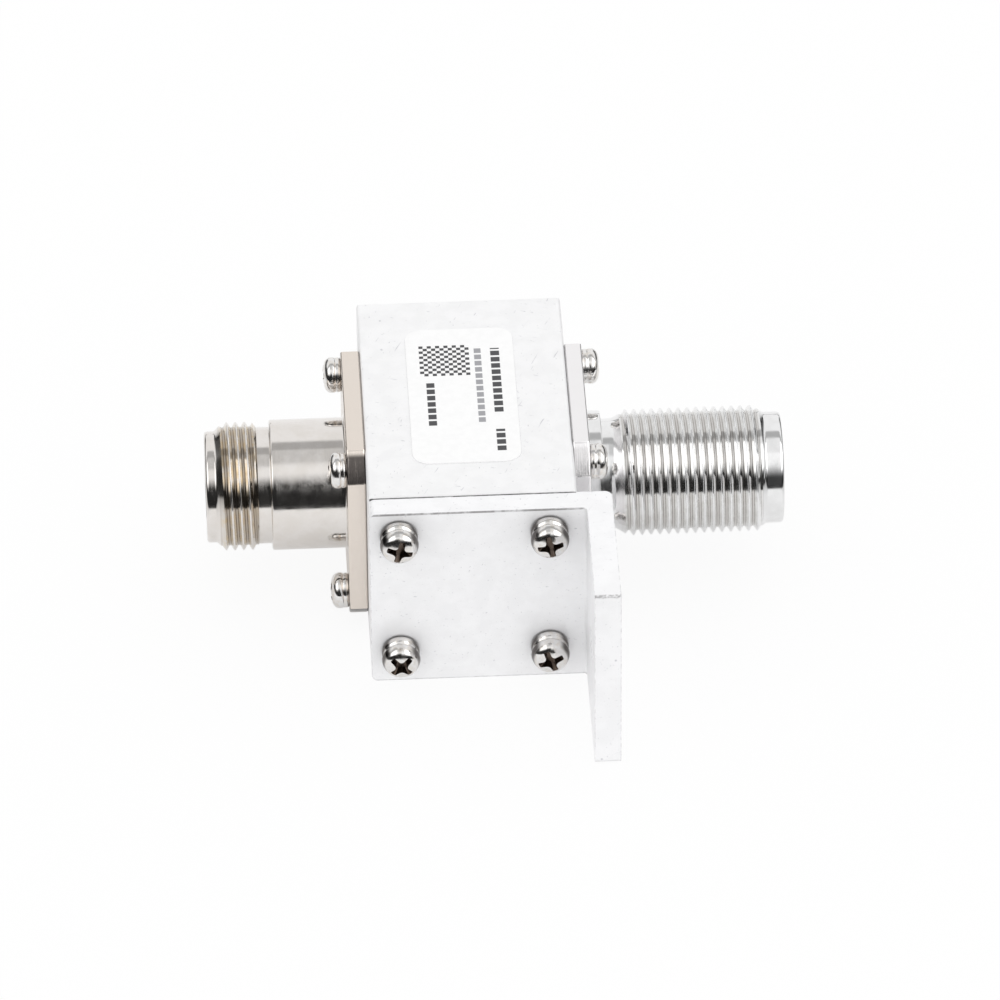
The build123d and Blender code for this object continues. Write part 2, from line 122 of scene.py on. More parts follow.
class Graph:
    """One node tree, filled by small steps that each return a socket."""

    def __init__(self, tree: bpy.types.NodeTree) -> None:
        """Starts from an empty tree.

        Args:
            tree: The material's or world's node tree.
        """
        self.tree = tree
        tree.nodes.clear()

    def node(self, kind: str, **settings: object) -> bpy.types.Node:
        """Adds a node.

        Args:
            kind: The node's Blender type name.
            settings: Attributes to set on it.

        Returns:
            The new node.
        """
        made = self.tree.nodes.new(kind)
        for key, value in settings.items():
            setattr(made, key, value)
        return made

    def put(self, value: Source, socket: Socket) -> None:
        """Links a socket, or writes a plain value.

        Args:
            value: What goes in.
            socket: The input that takes it.
        """
        if isinstance(value, Socket):
            self.tree.links.new(value, socket)
        elif isinstance(value, (int, float)):
            socket.default_value = value
        else:
            parts = tuple(value)
            socket.default_value = parts + (1.0,) * (len(socket.default_value) - len(parts))

    def feed(self, made: bpy.types.Node, *values: Source) -> bpy.types.Node:
        """Fills the first inputs of a node in order.

        Args:
            made: The node.
            values: What goes in.

        Returns:
            The same node.
        """
        for value, socket in zip(values, made.inputs):
            self.put(value, socket)
        return made

    def math(self, operation: str, *values: Source) -> Socket:
        """Returns the result of a new math node."""
        return self.feed(self.node("ShaderNodeMath", operation=operation), *values).outputs[0]

    def fold(self, operation: str, values: Sequence[Source]) -> Source:
        """Runs an operation of two values over any number of them, from the first on.

        Args:
            operation: Blender's name of the operation.
            values: The values.

        Returns:
            The result.
        """
        total = values[0]
        for value in values[1:]:
            total = self.math(operation, total, value)
        return total

    def times(self, *values: Source) -> Source:
        """Returns the product of the values."""
        return self.fold("MULTIPLY", values)

    def plus(self, *values: Source) -> Source:
        """Returns the sum of the values."""
        return self.fold("ADD", values)

    def most(self, *values: Source) -> Source:
        """Returns the largest of the values."""
        return self.fold("MAXIMUM", values)

    def minus(self, a: Source, b: Source) -> Socket:
        """Returns the first value less the second."""
        return self.math("SUBTRACT", a, b)

    def size(self, value: Source) -> Socket:
        """Returns the value without its sign."""
        return self.math("ABSOLUTE", value)

    def distance(self, a: Source, b: Source) -> Socket:
        """Returns the distance that two offsets at right angles make together."""
        return self.math("SQRT", self.plus(self.times(a, a), self.times(b, b)))

    def stretch(self, where: Source, scale: Triple) -> Socket:
        """Returns a coordinate times a scale for each direction."""
        made = self.node("ShaderNodeVectorMath", operation="MULTIPLY")
        return self.feed(made, where, scale).outputs[0]

    def place(self) -> Socket:
        """Returns the surface point in millimetres, in the frame of the whole part."""
        where = self.node("ShaderNodeTexCoord").outputs["Object"]
        return self.stretch(where, (1 / MM,) * 3)

    def split(self, value: Source) -> tuple[Socket, ...]:
        """Returns the three parts of a vector."""
        return tuple(self.feed(self.node("ShaderNodeSeparateXYZ"), value).outputs)

    def noise(self, where: Source, cloud: Cloud) -> Socket:
        """Adds cloud noise.

        Args:
            where: The coordinate.
            cloud: The noise's settings.

        Returns:
            The noise, about 0.5 on average.
        """
        made = self.node("ShaderNodeTexNoise")
        self.put(where, made.inputs["Vector"])
        self.put(cloud.scale, made.inputs["Scale"])
        self.put(cloud.detail, made.inputs["Detail"])
        self.put(cloud.rough, made.inputs["Roughness"])
        return made.outputs[0]

    def patches(self, where: Source, cloud: Cloud, start: float = 0.0, end: float = 1.0) -> Socket:
        """Adds cloud noise that changes between the cloud's limits.

        Args:
            where: The coordinate.
            cloud: The noise's settings.
            start: Result below the lower limit.
            end: Result above the upper limit.

        Returns:
            The patches.
        """
        return self.step(self.noise(where, cloud), cloud.low, cloud.high, start, end)

    def wander(self, where: Source, cloud: Cloud, swing: float) -> Socket:
        """Returns cloud noise round zero, about as large as the swing."""
        return self.times(self.minus(self.noise(where, cloud), 0.5), swing)

    def step(
        self, value: Source, low: float, high: float, start: float = 0.0, end: float = 1.0
    ) -> Socket:
        """Adds a smooth step.

        Args:
            value: The input.
            low: Where the step begins.
            high: Where the step is complete.
            start: Result below low.
            end: Result above high.

        Returns:
            The stepped value.
        """
        made = self.node("ShaderNodeMapRange", interpolation_type="SMOOTHSTEP")
        return self.feed(made, value, low, high, start, end).outputs[0]

    def fall(self, value: Source, low: float, high: float) -> Socket:
        """Returns 1 below the lower limit and 0 above the upper one."""
        return self.step(value, low, high, 1.0, 0.0)

    def band(self, value: Source, low: float, high: float, soft: float) -> Socket:
        """Marks what lies between two limits.

        Args:
            value: The input.
            low: The lower limit.
            high: The upper limit.
            soft: Half the width of the soft edges.

        Returns:
            1 between the limits and 0 outside.
        """
        rise = self.step(value, low - soft, low + soft)
        return self.times(rise, self.fall(value, high - soft, high + soft))

    def mix(self, share: Source, a: Source, b: Source) -> Socket:
        """Turns one colour into another.

        Args:
            share: 0 for the first colour and 1 for the second.
            a: The first colour.
            b: The second colour.

        Returns:
            The mixed colour.
        """
        made = self.node("ShaderNodeMix", data_type="RGBA")
        self.put(share, made.inputs[0])
        self.put(a, made.inputs[6])
        self.put(b, made.inputs[7])
        return made.outputs[2]

    def crevice(self, reach: float, low: float, high: float) -> Socket:
        """Finds narrow gaps and corners.

        Args:
            reach: How far round a point is looked, in millimetres.
            low: Openness at which a point counts as wholly inside a gap.
            high: Openness at which it no longer counts.

        Returns:
            1 in the gaps and 0 on open surfaces.
        """
        made = self.node("ShaderNodeAmbientOcclusion", samples=GAP_SAMPLES)
        self.put(reach * MM, made.inputs["Distance"])
        return self.fall(made.outputs["AO"], low, high)

    def edges(self, reach: float, flat: Span = (0.88, 0.99)) -> Socket:
        """Finds the edges of a piece.

        Args:
            reach: Half the width of the marked line, in millimetres.
            flat: How much a rounded normal agrees with the real one at an edge and off it.

        Returns:
            1 along the edges and 0 on flat surfaces.
        """
        soft = self.node("ShaderNodeBevel", samples=EDGE_SAMPLES)
        self.put(reach * MM, soft.inputs["Radius"])
        real = self.node("ShaderNodeNewGeometry").outputs["Normal"]
        lean = self.node("ShaderNodeVectorMath", operation="DOT_PRODUCT")
        return self.fall(self.feed(lean, soft.outputs[0], real).outputs["Value"], *flat)

    def bump(self, height: Source, distance: float, below: Source | None = None) -> Socket:
        """Adds relief.

        Args:
            height: Height from 0 to 1.
            distance: Height of 1, in millimetres.
            below: Another relief that this one lies on.

        Returns:
            The normal.
        """
        made = self.node("ShaderNodeBump")
        self.put(1.0, made.inputs["Strength"])
        self.put(distance * MM, made.inputs["Distance"])
        self.put(height, made.inputs["Height"])
        if below is not None:
            self.put(below, made.inputs["Normal"])
        return made.outputs[0]


@dataclass(frozen=True)
class Finish:
    """A surface finish. Subclasses say what varies over the surface."""

    name: str
    colour: Colour
    roughness: float
    metallic: float = 0.0
    mottle: Cloud = Cloud(0.9, 4.0, 0.5, 0.35, 0.65)
    mottle_tone: float = 0.93
    sheen: Cloud = Cloud(1.4, 4.0)
    sheen_swing: Span = (-0.06, 0.06)

    def mottled(self, graph: Graph, place: Socket) -> Socket:
        """Returns the finish's colour, slightly darker in soft clouds."""
        darker = tuple(self.mottle_tone * part for part in self.colour)
        return graph.mix(graph.patches(place, self.mottle), darker, self.colour)

    def shine(self, graph: Graph, place: Socket) -> Socket:
        """Returns the finish's roughness, which swings in soft clouds."""
        low, high = (self.roughness + swing for swing in self.sheen_swing)
        return graph.patches(place, self.sheen, low, high)

    def dress(self, graph: Graph, shader: bpy.types.Node) -> None:
        """Adds what varies over the surface; the plain finish only mottles its colour.

        Args:
            graph: The material's node tree.
            shader: Its main shader.
        """
        graph.put(self.mottled(graph, graph.place()), shader.inputs["Base Color"])

    def material(self) -> bpy.types.Material:
        """Makes the finish's material, unless it is there already.

        Returns:
            The material.
        """
        if self.name in bpy.data.materials:
            return bpy.data.materials[self.name]
        made = bpy.data.materials.new(self.name)
        made.use_nodes = True
        graph = Graph(made.node_tree)
        shader = graph.node("ShaderNodeBsdfPrincipled")
        graph.put(self.metallic, shader.inputs["Metallic"])
        graph.put(self.roughness, shader.inputs["Roughness"])
        self.dress(graph, shader)
        graph.feed(graph.node("ShaderNodeOutputMaterial"), shader.outputs[0])
        return made


@dataclass(frozen=True)
class MachinedAluminium(Finish):
    """Pale matte aluminium with scratches, specks, smudges, and painted shade at edges, seam and
    gaps.
    """

    mottle: Cloud = Cloud(0.35, 5.0, 0.6, 0.4, 0.6)
    mottle_tone: float = 0.965
    mark_colour: Colour = (0.60, 0.60, 0.63)
    mark_share: float = 0.75
    mark_height: float = -0.02
    scratch: Cloud = Cloud(1.0, 2.0, 0.6, 0.70, 0.75)
    scratch_stretch: Triple = (0.16, 3.4, 3.4)
    scratch_sets: tuple[tuple[Triple, Triple], ...] = (
        ((0.2, 0.14, 0.35), (0.0, 5.0, 3.0)),
        ((-0.5, 0.68, 1.7), (17.0, 5.0, 3.0)),
        ((0.9, 1.04, 2.6), (34.0, 5.0, 3.0)),
    )
    smudge: Cloud = Cloud(0.22, 6.0, 0.72, 0.57, 0.75)
    smudge_grain: Cloud = Cloud(2.6, 3.0, 0.7, 0.52, 0.72)
    smudge_share: float = 0.55
    speck_scale: float = 0.62
    speck_size: Span = (0.05, 0.13)
    speck_choice: Span = (0.86, 0.9)
    # painted shade in crevices and gaps between parts, found by ambient occlusion
    painted_shade_colour: Colour = (0.22, 0.21, 0.21)
    crevice_shade_share: float = 0.8
    crevice_shade_reach: float = 0.7
    crevice_shade_open: Span = (0.35, 0.72)
    # painted shade along the edges, in ragged patches
    edge_shade_colour: Colour = (0.36, 0.36, 0.38)
    edge_shade_share: float = 0.85
    edge_reach: float = 0.18
    edge_patches: Cloud = Cloud(1.3, 4.0, 0.7, 0.38, 0.62)
    # painted shade along the seam between block and bracket
    seam_shade_colour: Colour = (0.05, 0.05, 0.052)
    seam_place: float = -19.3
    seam_width: Span = (0.1, 0.2)
    seam_rise: Span = (25.4, 25.6)
    seam_ends: Span = (12.45, 12.55)
    seam_wander: Cloud = Cloud(0.8, 4.0, 0.7)
    seam_swing: float = 0.12
    seam_patches: Cloud = Cloud(0.5, 3.0, 0.6, 0.3, 0.5)
    seam_share: Span = (0.6, 1.0)
    grain: Cloud = Cloud(14.0, 3.0, 0.65)
    grain_height: float = 0.006

    def dress(self, graph: Graph, shader: bpy.types.Node) -> None:
        """Lays marks, and painted shade at edges, seam and gaps, over the mottled colour; adds the
        grain.

        Args:
            graph: The material's node tree.
            shader: Its main shader.
        """
        place = graph.place()
        marks = self.marks(graph, place)
        colour = graph.mix(marks, self.mottled(graph, place), self.mark_colour)
        # painted shade along the edges
        ragged = graph.patches(place, self.edge_patches)
        edge = graph.times(graph.edges(self.edge_reach), ragged, self.edge_shade_share)
        colour = graph.mix(edge, colour, self.edge_shade_colour)
        # painted shade in the seam
        colour = graph.mix(self.seam(graph, place), colour, self.seam_shade_colour)
        # painted shade in crevices and gaps, by ambient occlusion
        crevice_shade = graph.times(graph.crevice(self.crevice_shade_reach, *self.crevice_shade_open), self.crevice_shade_share)
        graph.put(graph.mix(crevice_shade, colour, self.painted_shade_colour), shader.inputs["Base Color"])
        graph.put(self.shine(graph, place), shader.inputs["Roughness"])
        relief = graph.bump(graph.noise(place, self.grain), self.grain_height)
        graph.put(graph.bump(marks, self.mark_height, relief), shader.inputs["Normal"])

    def marks(self, graph: Graph, place: Socket) -> Source:
        """Gathers scratches, specks and smudges.

        Args:
            graph: The material's node tree.
            place: The surface point in millimetres.

        Returns:
            How strongly each point is marked.
        """
        smudge = graph.times(
            graph.patches(place, self.smudge),
            graph.patches(place, self.smudge_grain),
            self.smudge_share,
        )
        marks = graph.most(self.scratches(graph, place), self.specks(graph, place), smudge)
        return graph.times(marks, self.mark_share)

    def scratches(self, graph: Graph, place: Socket) -> Source:
        """Draws thin short lines by noise that is stretched along three directions.

        Args:
            graph: The material's node tree.
            place: The surface point in millimetres.

        Returns:
            1 on the lines and 0 elsewhere.
        """
        lines = []
        for angles, shift in self.scratch_sets:
            turn = graph.node("ShaderNodeVectorRotate", rotation_type="EULER_XYZ")
            graph.put(place, turn.inputs["Vector"])
            graph.put(angles, turn.inputs["Rotation"])
            moved = graph.node("ShaderNodeVectorMath", operation="ADD")
            graph.feed(moved, graph.stretch(turn.outputs[0], self.scratch_stretch), shift)
            lines.append(graph.patches(moved.outputs[0], self.scratch))
        return graph.most(*lines)

    def specks(self, graph: Graph, place: Socket) -> Source:
        """Scatters small round marks on about one cell in nine.

        Args:
            graph: The material's node tree.
            place: The surface point in millimetres.

        Returns:
            1 in the specks and 0 elsewhere.
        """
        cells = graph.node("ShaderNodeTexVoronoi")
        graph.put(place, cells.inputs["Vector"])
        graph.put(self.speck_scale, cells.inputs["Scale"])
        spot = graph.fall(cells.outputs["Distance"], *self.speck_size)
        chance = graph.split(cells.outputs["Color"])[0]
        return graph.times(spot, graph.step(chance, *self.speck_choice))

    def seam(self, graph: Graph, place: Socket) -> Source:
        """Draws painted shade along the top of the joint between block and bracket.

        Args:
            graph: The material's node tree.
            place: The surface point in millimetres.

        Returns:
            Near 1 in the line and 0 elsewhere.
        """
        x, y, z = graph.split(place)
        wander = graph.wander(place, self.seam_wander, self.seam_swing)
        off = graph.size(graph.minus(graph.plus(y, wander), self.seam_place))
        return graph.times(
            graph.fall(off, *self.seam_width),
            graph.fall(graph.size(x), *self.seam_ends),
            graph.step(z, *self.seam_rise),
            graph.patches(place, self.seam_patches, *self.seam_share),
        )


@dataclass(frozen=True)
class WornAndShadedAluminium(MachinedAluminium):
    """The bracket's aluminium, rubbed dark on the leg end's top edge, with painted shade on the
    plate's top edge.
    """

    wear_and_edge_shade_colour: Colour = (0.16, 0.15, 0.15)
    worn_share: float = 0.6
    worn_down: Span = (0.12, 0.34)
    worn_back: Span = (0.18, 0.5)
    worn_wander: Cloud = Cloud(2.4, 5.0, 0.75)
    worn_swing: float = 0.5
    worn_patches: Cloud = Cloud(3.2, 3.0, 0.7, 0.36, 0.58)
    leg_front: float = -39.4
    leg_rise: Span = (13.4, 13.5)
    top: float = 25.8
    plate_front: float = -22.48
    plate_fall: Span = (13.0, 13.5)
    # painted shade along the plate's top front edge
    plate_shade_width: Span = (0.13, 0.221)
    plate_shade_patches: Cloud = Cloud(0.6, 3.0, 0.7, 0.35, 0.6)
    plate_shade_share: Span = (0.3, 0.75)

    def dress(self, graph: Graph, shader: bpy.types.Node) -> None:
        """Adds the leg end's rubbed edge and the plate edge's painted shade to the machined finish.

        Args:
            graph: The material's node tree.
            shader: Its main shader.
        """
        super().dress(graph, shader)
        base = shader.inputs["Base Color"].links[0].from_socket
        place = graph.place()
        x, y, z = graph.split(place)
        wander = graph.wander(place, self.worn_wander, self.worn_swing)
        leg_end = graph.times(
            graph.fall(graph.plus(graph.minus(self.top, z), wander), *self.worn_down),
            graph.fall(graph.plus(graph.minus(y, self.leg_front), wander), *self.worn_back),
            graph.step(x, *self.leg_rise),
            graph.patches(place, self.worn_patches),
            self.worn_share,
        )
        # painted shade along the plate's top front edge, a thin line
        forward, above = graph.minus(y, self.plate_front), graph.minus(z, self.top)
        line = graph.times(
            graph.fall(graph.distance(forward, above), *self.plate_shade_width),
            graph.fall(x, *self.plate_fall),
            graph.patches(place, self.plate_shade_patches, *self.plate_shade_share),
        )
        colour = graph.mix(graph.most(leg_end, line), base, self.wear_and_edge_shade_colour)
        graph.put(colour, shader.inputs["Base Color"])


@dataclass(frozen=True)
class BrightPlate(Finish):
    """Bright plating over turned metal, with turning lines, a tinted thread and its own flange."""

    metallic: float = 1.0
    mottle: Cloud = Cloud(0.42, 4.0, 0.6, 0.38, 0.66)
    mottle_tone: float = 0.90
    mottle_tint: float = 0.06
    sheen: Cloud = Cloud(0.8, 4.0, 0.6)
    sheen_swing: Span = (-0.04, 0.05)
    axis_height: float = 13.1
    tint: Colour = (0.62, 0.47, 0.30)
    tint_share: float = 0.5
    tint_patches: Cloud = Cloud(0.75, 4.0, 0.65, 0.42, 0.6)
    thread_place: Span = (0.0, 0.0)
    thread_soft: float = 0.3
    thread_crest: float = 7.75
    thread_depth: float = 0.62
    thread_flank: Colour = (0.86, 0.86, 0.855)
    flank_top: Span = (0.8, 0.95)
    # painted shade in the thread's roots
    thread_root_shade: Colour = (0.50, 0.48, 0.46)
    root_rise: Span = (-0.12, -0.04)
    root_top: Span = (0.05, 0.3)
    root_shade_share: float = 0.7
    flange_tone: Colour = (0.97, 0.97, 0.97)
    flange_rise: Span = (8.3, 8.6)
    flange_matte: float = 0.12
    # the turned corners get a painted dark reflection, in streaks
    corner_rise: Span = (15.3, 15.5)
    corner_reach: Span = (12.6, 12.7)
    corner_fade: Span = (9.9, 10.5)
    corner_shade: Colour = (0.09, 0.08, 0.075)
    corner_share: float = 0.2
    streaks: Cloud = Cloud(1.0, 4.0, 0.7, 0.2, 0.42)
    streak_stretch: Triple = (6.0, 0.25, 0.25)
    streak_height: float = 0.03
    turning: Cloud = Cloud(1.0, 3.0, 0.7)
    turning_stretch: Triple = (9.0, 0.12, 0.12)
    turning_height: float = 0.0012
    ripple: Cloud = Cloud(3.0, 4.0, 0.6)
    ripple_height: float = 0.0015
    thread_calm: float = 0.85

    def dress(self, graph: Graph, shader: bpy.types.Node) -> None:
        """Colours barrel, thread and flange, paints dark reflection on the turned corners, and adds
        the turning lines.

        Args:
            graph: The material's node tree.
            shader: Its main shader.
        """
        place = graph.place()
        x, y, z = graph.split(place)
        height = graph.minus(z, self.axis_height)
        radius = graph.distance(y, height)
        over_root = graph.minus(radius, self.thread_crest - self.thread_depth)
        within = graph.times(
            graph.band(x, *self.thread_place, self.thread_soft),
            graph.step(over_root, *self.root_rise),
        )
        flange = graph.step(radius, *self.flange_rise)
        corner = graph.times(
            graph.step(radius, *self.corner_rise),
            graph.fall(graph.size(y), *self.corner_reach),
            graph.fall(graph.size(height), *self.corner_reach),
        )
        # painted dark reflection on the turned corners, in streaks
        streaks = graph.noise(graph.stretch(place, self.streak_stretch), self.streaks)
        shade = graph.times(
            graph.step(streaks, self.streaks.low, self.streaks.high),
            graph.step(graph.size(y), *self.corner_fade),
            self.corner_share,
            corner,
        )
        colour = graph.mix(flange, self.threaded(graph, place, over_root, within), self.flange_tone)
        graph.put(graph.mix(shade, colour, self.corner_shade), shader.inputs["Base Color"])
        matte = graph.times(graph.minus(flange, corner), self.flange_matte)
        graph.put(graph.plus(self.shine(graph, place), matte), shader.inputs["Roughness"])
        calm = graph.minus(1.0, graph.times(within, self.thread_calm))
        turning = graph.noise(graph.stretch(place, self.turning_stretch), self.turning)
        relief = graph.bump(graph.times(turning, calm), self.turning_height)
        ripple = graph.times(graph.noise(place, self.ripple), calm)
        relief = graph.bump(ripple, self.ripple_height, relief)
        relief = graph.bump(graph.times(streaks, corner), self.streak_height, relief)
        graph.put(relief, shader.inputs["Normal"])

    def threaded(self, graph: Graph, place: Socket, over_root: Source, within: Source) -> Socket:
        """Colours the plain turned surface and the thread's flanks, and paints shade into the
        roots.

        Args:
            graph: The material's node tree.
            place: The surface point in millimetres.
            over_root: Its height over the thread's root.
            within: 1 on the thread and 0 elsewhere.

        Returns:
            The colour.
        """
        toned = (self.mottle_tone * part for part in self.colour)
        deeper = tuple(a + self.mottle_tint * b for a, b in zip(toned, self.tint))
        colour = graph.mix(graph.patches(place, self.mottle), self.colour, deeper)
        rise = graph.math("DIVIDE", over_root, self.thread_depth)
        tinted = graph.times(graph.patches(place, self.tint_patches), self.tint_share)
        flank = graph.mix(tinted, self.thread_flank, self.tint)
        colour = graph.mix(graph.times(within, graph.fall(rise, *self.flank_top)), colour, flank)
        # painted shade in the thread's roots
        roots = graph.times(within, graph.step(rise, *self.root_top, self.root_shade_share, 0.0))
        return graph.mix(roots, colour, self.thread_root_shade)


@dataclass(frozen=True)
class PolishedSteel(Finish):
    """Bright turned metal with faint smears, and painted shade in its recesses and, where set, on
    its heads' sides.
    """

    metallic: float = 1.0
    mottle: Cloud = Cloud(1.7, 4.0, 0.6, 0.4, 0.7)
    warmth: Colour = (0.93, 0.89, 0.84)
    sheen: Cloud = Cloud(1.7, 4.0, 0.6)
    sheen_swing: Span = (-0.03, 0.07)
    # painted shade in recesses and gaps, and on the sides of the heads
    painted_shade_colour: Colour = (0.10, 0.09, 0.085)
    crevice_shade_reach: float = 0.45
    crevice_shade_open: Span = (0.42, 0.75)
    crevice_shade_share: float = 0.45
    side_shade: float = 0.0
    side_lean: Span = (0.42, 0.75)
    side_front: Span = (-0.7, -0.35)
    ripple: Cloud = Cloud(6.0, 3.0)
    ripple_height: float = 0.002

    def dress(self, graph: Graph, shader: bpy.types.Node) -> None:
        """Warms the colour in smears, and paints shade into the recesses and onto the sides of the
        heads.

        Args:
            graph: The material's node tree.
            shader: Its main shader.
        """
        place = graph.place()
        warmer = tuple(part * share for part, share in zip(self.colour, self.warmth))
        colour = graph.mix(graph.patches(place, self.mottle), self.colour, warmer)
        across, outward, _ = graph.split(graph.node("ShaderNodeNewGeometry").outputs["Normal"])
        # painted shade on the heads' sides, by the direction of the normal
        flank = graph.times(
            graph.step(graph.size(across), *self.side_lean),
            graph.step(outward, *self.side_front),
            self.side_shade,
        )
        colour = graph.mix(flank, colour, self.painted_shade_colour)
        # painted shade in the recesses and gaps, by ambient occlusion
        crevice_shade = graph.times(graph.crevice(self.crevice_shade_reach, *self.crevice_shade_open), self.crevice_shade_share)
        graph.put(graph.mix(crevice_shade, colour, self.painted_shade_colour), shader.inputs["Base Color"])
        graph.put(self.shine(graph, place), shader.inputs["Roughness"])
        relief = graph.bump(graph.noise(place, self.ripple), self.ripple_height)
        graph.put(relief, shader.inputs["Normal"])


@dataclass(frozen=True)
class Bar:
    """A printed rectangle, by its sides on the film, and whether its ink is pale."""

    left: float
    low: float
    right: float
    high: float
    pale: bool = False


@dataclass(frozen=True)
class PrintedFilm(Finish):
    """White film with plain printed shapes: a check panel and four broken bars."""

    mottle: Cloud = Cloud(1.1, 3.0, 0.5, 0.35, 0.65)
    mottle_tone: float = 0.975
    ink: Colour = (0.055, 0.055, 0.06)
    pale_ink: Colour = (0.36, 0.36, 0.38)
    panel: Bar = Bar(-5.3, 4.1, 0.85, 10.1)
    panel_cells: int = 12
    panel_soft: float = 0.02
    bars: tuple[Bar, ...] = (
        Bar(3.45, -3.5, 4.55, 9.3),
        Bar(3.45, -11.05, 4.55, -6.7),
        Bar(1.45, -5.4, 2.3, 9.6, pale=True),
        Bar(-4.65, -5.8, -3.65, 2.8),
    )
    bar_soft: float = 0.03
    dash: float = 0.62
    dash_gap: Span = (0.12, 0.2)
    ripple: Cloud = Cloud(5.0)
    ripple_height: float = 0.002

    def dress(self, graph: Graph, shader: bpy.types.Node) -> None:
        """Prints the shapes by place on the film's top.

        Args:
            graph: The material's node tree.
            shader: Its main shader.
        """
        place = graph.place()
        x, y, _ = graph.split(place)
        inked = graph.times(
            self.inside(graph, x, y, self.panel, self.panel_soft), self.check(graph, x, y)
        )
        colour = graph.mix(inked, self.mottled(graph, place), self.ink)
        for bar in self.bars:
            dashes = graph.math("PINGPONG", graph.minus(y, bar.low), self.dash)
            box = self.inside(graph, x, y, bar, self.bar_soft)
            inked = graph.times(box, graph.step(dashes, *self.dash_gap))
            colour = graph.mix(inked, colour, self.pale_ink if bar.pale else self.ink)
        graph.put(colour, shader.inputs["Base Color"])
        relief = graph.bump(graph.noise(place, self.ripple), self.ripple_height)
        graph.put(relief, shader.inputs["Normal"])

    def inside(self, graph: Graph, x: Source, y: Source, bar: Bar, soft: float) -> Source:
        """Marks the inside of a printed rectangle.

        Args:
            graph: The material's node tree.
            x: The place across the film.
            y: The place along the film.
            bar: The rectangle.
            soft: Half the width of its soft edges.

        Returns:
            1 inside and 0 outside.
        """
        across = graph.band(x, bar.left, bar.right, soft)
        return graph.times(across, graph.band(y, bar.low, bar.high, soft))

    def check(self, graph: Graph, x: Source, y: Source) -> Socket:
        """Draws a plain check of equal cells over the panel.

        Args:
            graph: The material's node tree.
            x: The place across the film.
            y: The place along the film.

        Returns:
            1 in every other cell and 0 in the rest.
        """
        wide = (self.panel.right - self.panel.left) / self.panel_cells
        tall = (self.panel.high - self.panel.low) / self.panel_cells
        across = graph.times(graph.minus(x, self.panel.left), 1 / wide)
        along = graph.times(graph.minus(y, self.panel.low), 1 / tall)
        cells = graph.plus(graph.math("FLOOR", across), graph.math("FLOOR", along))
        return graph.math("MODULO", cells, 2.0)


class Palette:
    """Every finish of the arrestor, by the piece or the metal that it is for."""

    block = MachinedAluminium("block_aluminium", (0.965, 0.965, 0.97), 0.5, 0.25, crevice_shade_share=0.5)
    bracket = WornAndShadedAluminium("bracket_aluminium", (0.98, 0.98, 0.99), 0.45, 0.12, crevice_shade_reach=0.45)
    label = PrintedFilm("label_film", (0.995, 0.995, 0.995), 0.35)
    flange_fasteners = PolishedSteel("screw_steel", (0.83, 0.82, 0.81), 0.12)
    # the front screws get strong painted shade in their gaps and on their heads' sides
    bracket_fasteners = PolishedSteel(
        "front_screw_steel",
        (0.80, 0.79, 0.78),
        0.12,
        crevice_shade_share=0.95,
        crevice_shade_reach=0.6,
        side_shade=0.95,
    )
    # the cross recess is painted dark brown-black as shade
    recess = PolishedSteel("screw_cross_painted_shade", (0.11, 0.085, 0.07), 0.3)
    left_plating = BrightPlate(
        "warm_nickel_plate",
        (0.80, 0.768, 0.74),
        0.1,
        tint=(0.70, 0.57, 0.38),
        thread_place=(-30.2, -25.5),
        thread_crest=7.875,
        thread_flank=(0.70, 0.665, 0.62),
        thread_root_shade=(0.30, 0.25, 0.20),
        flange_tone=(0.79, 0.72, 0.655),
        corner_share=0.97,
    )
    right_plating = BrightPlate(
        "neutral_bright_plate",
        (0.87, 0.87, 0.872),
        0.1,
        tint=(0.5, 0.47, 0.44),
        tint_share=0.2,
        thread_place=(19.0, 35.9),
        flange_tone=(0.90, 0.885, 0.89),
    )
    insulation = Finish("waxy_insulation", (0.90, 0.90, 0.87), 0.42)
    contact_plating = PolishedSteel("contact_gold", (0.86, 0.66, 0.33), 0.2)
    line_metal = PolishedSteel("turned_brass", (0.76, 0.60, 0.33), 0.28)
    capacitor = Finish("capacitor_ceramic", (0.62, 0.40, 0.22), 0.45)
    seal = Finish("seal_rubber", (0.03, 0.03, 0.03), 0.6)
    tube = Finish("tube_ceramic", (0.86, 0.84, 0.80), 0.5)
    electrode = PolishedSteel("electrode_steel", (0.66, 0.65, 0.62), 0.3)
    spring = PolishedSteel("spring_steel", (0.50, 0.50, 0.51), 0.3)


# Mesh building


def rounded(
    points: Sequence[Point], radii: dict[int, float], steps: int = 4, most: float = 0.49
) -> list[Point]:
    """Rounds corners of an open outline.

    Args:
        points: The outline.
        radii: Tangent length of the curve at each named corner.
        steps: Pieces in each curve.
        most: Largest share of a side that a curve takes.

    Returns:
        The outline with curves at those corners.
    """
    made: list[Point] = []
    for index, point in enumerate(points):
        if index not in radii:
            made.append(point)
            continue
        here = Vector(point)
        back = Vector(points[index - 1]) - here
        ahead = Vector(points[index + 1]) - here
        reach = min(radii[index], most * back.length, most * ahead.length)
        start = here + back.normalized() * reach
        end = here + ahead.normalized() * reach
        for number in range(steps + 1):
            t = number / steps
            spot = start * (1 - t) ** 2 + here * 2 * t * (1 - t) + end * t**2
            made.append((spot.x, spot.y))
    return made


def dense(points: Sequence[Point], step: float = 0.35) -> list[Point]:
    """Adds points along the straight runs of an outline.

    Args:
        points: The outline.
        step: Longest run left between two points.

    Returns:
        The outline with the added points.
    """
    made = [points[0]]
    for start, end in zip(points, points[1:]):
        here, there = Vector(start), Vector(end)
        count = max(1, math.ceil((there - here).length / step))
        made += [tuple(here.lerp(there, number / count)) for number in range(1, count + 1)]
    return made


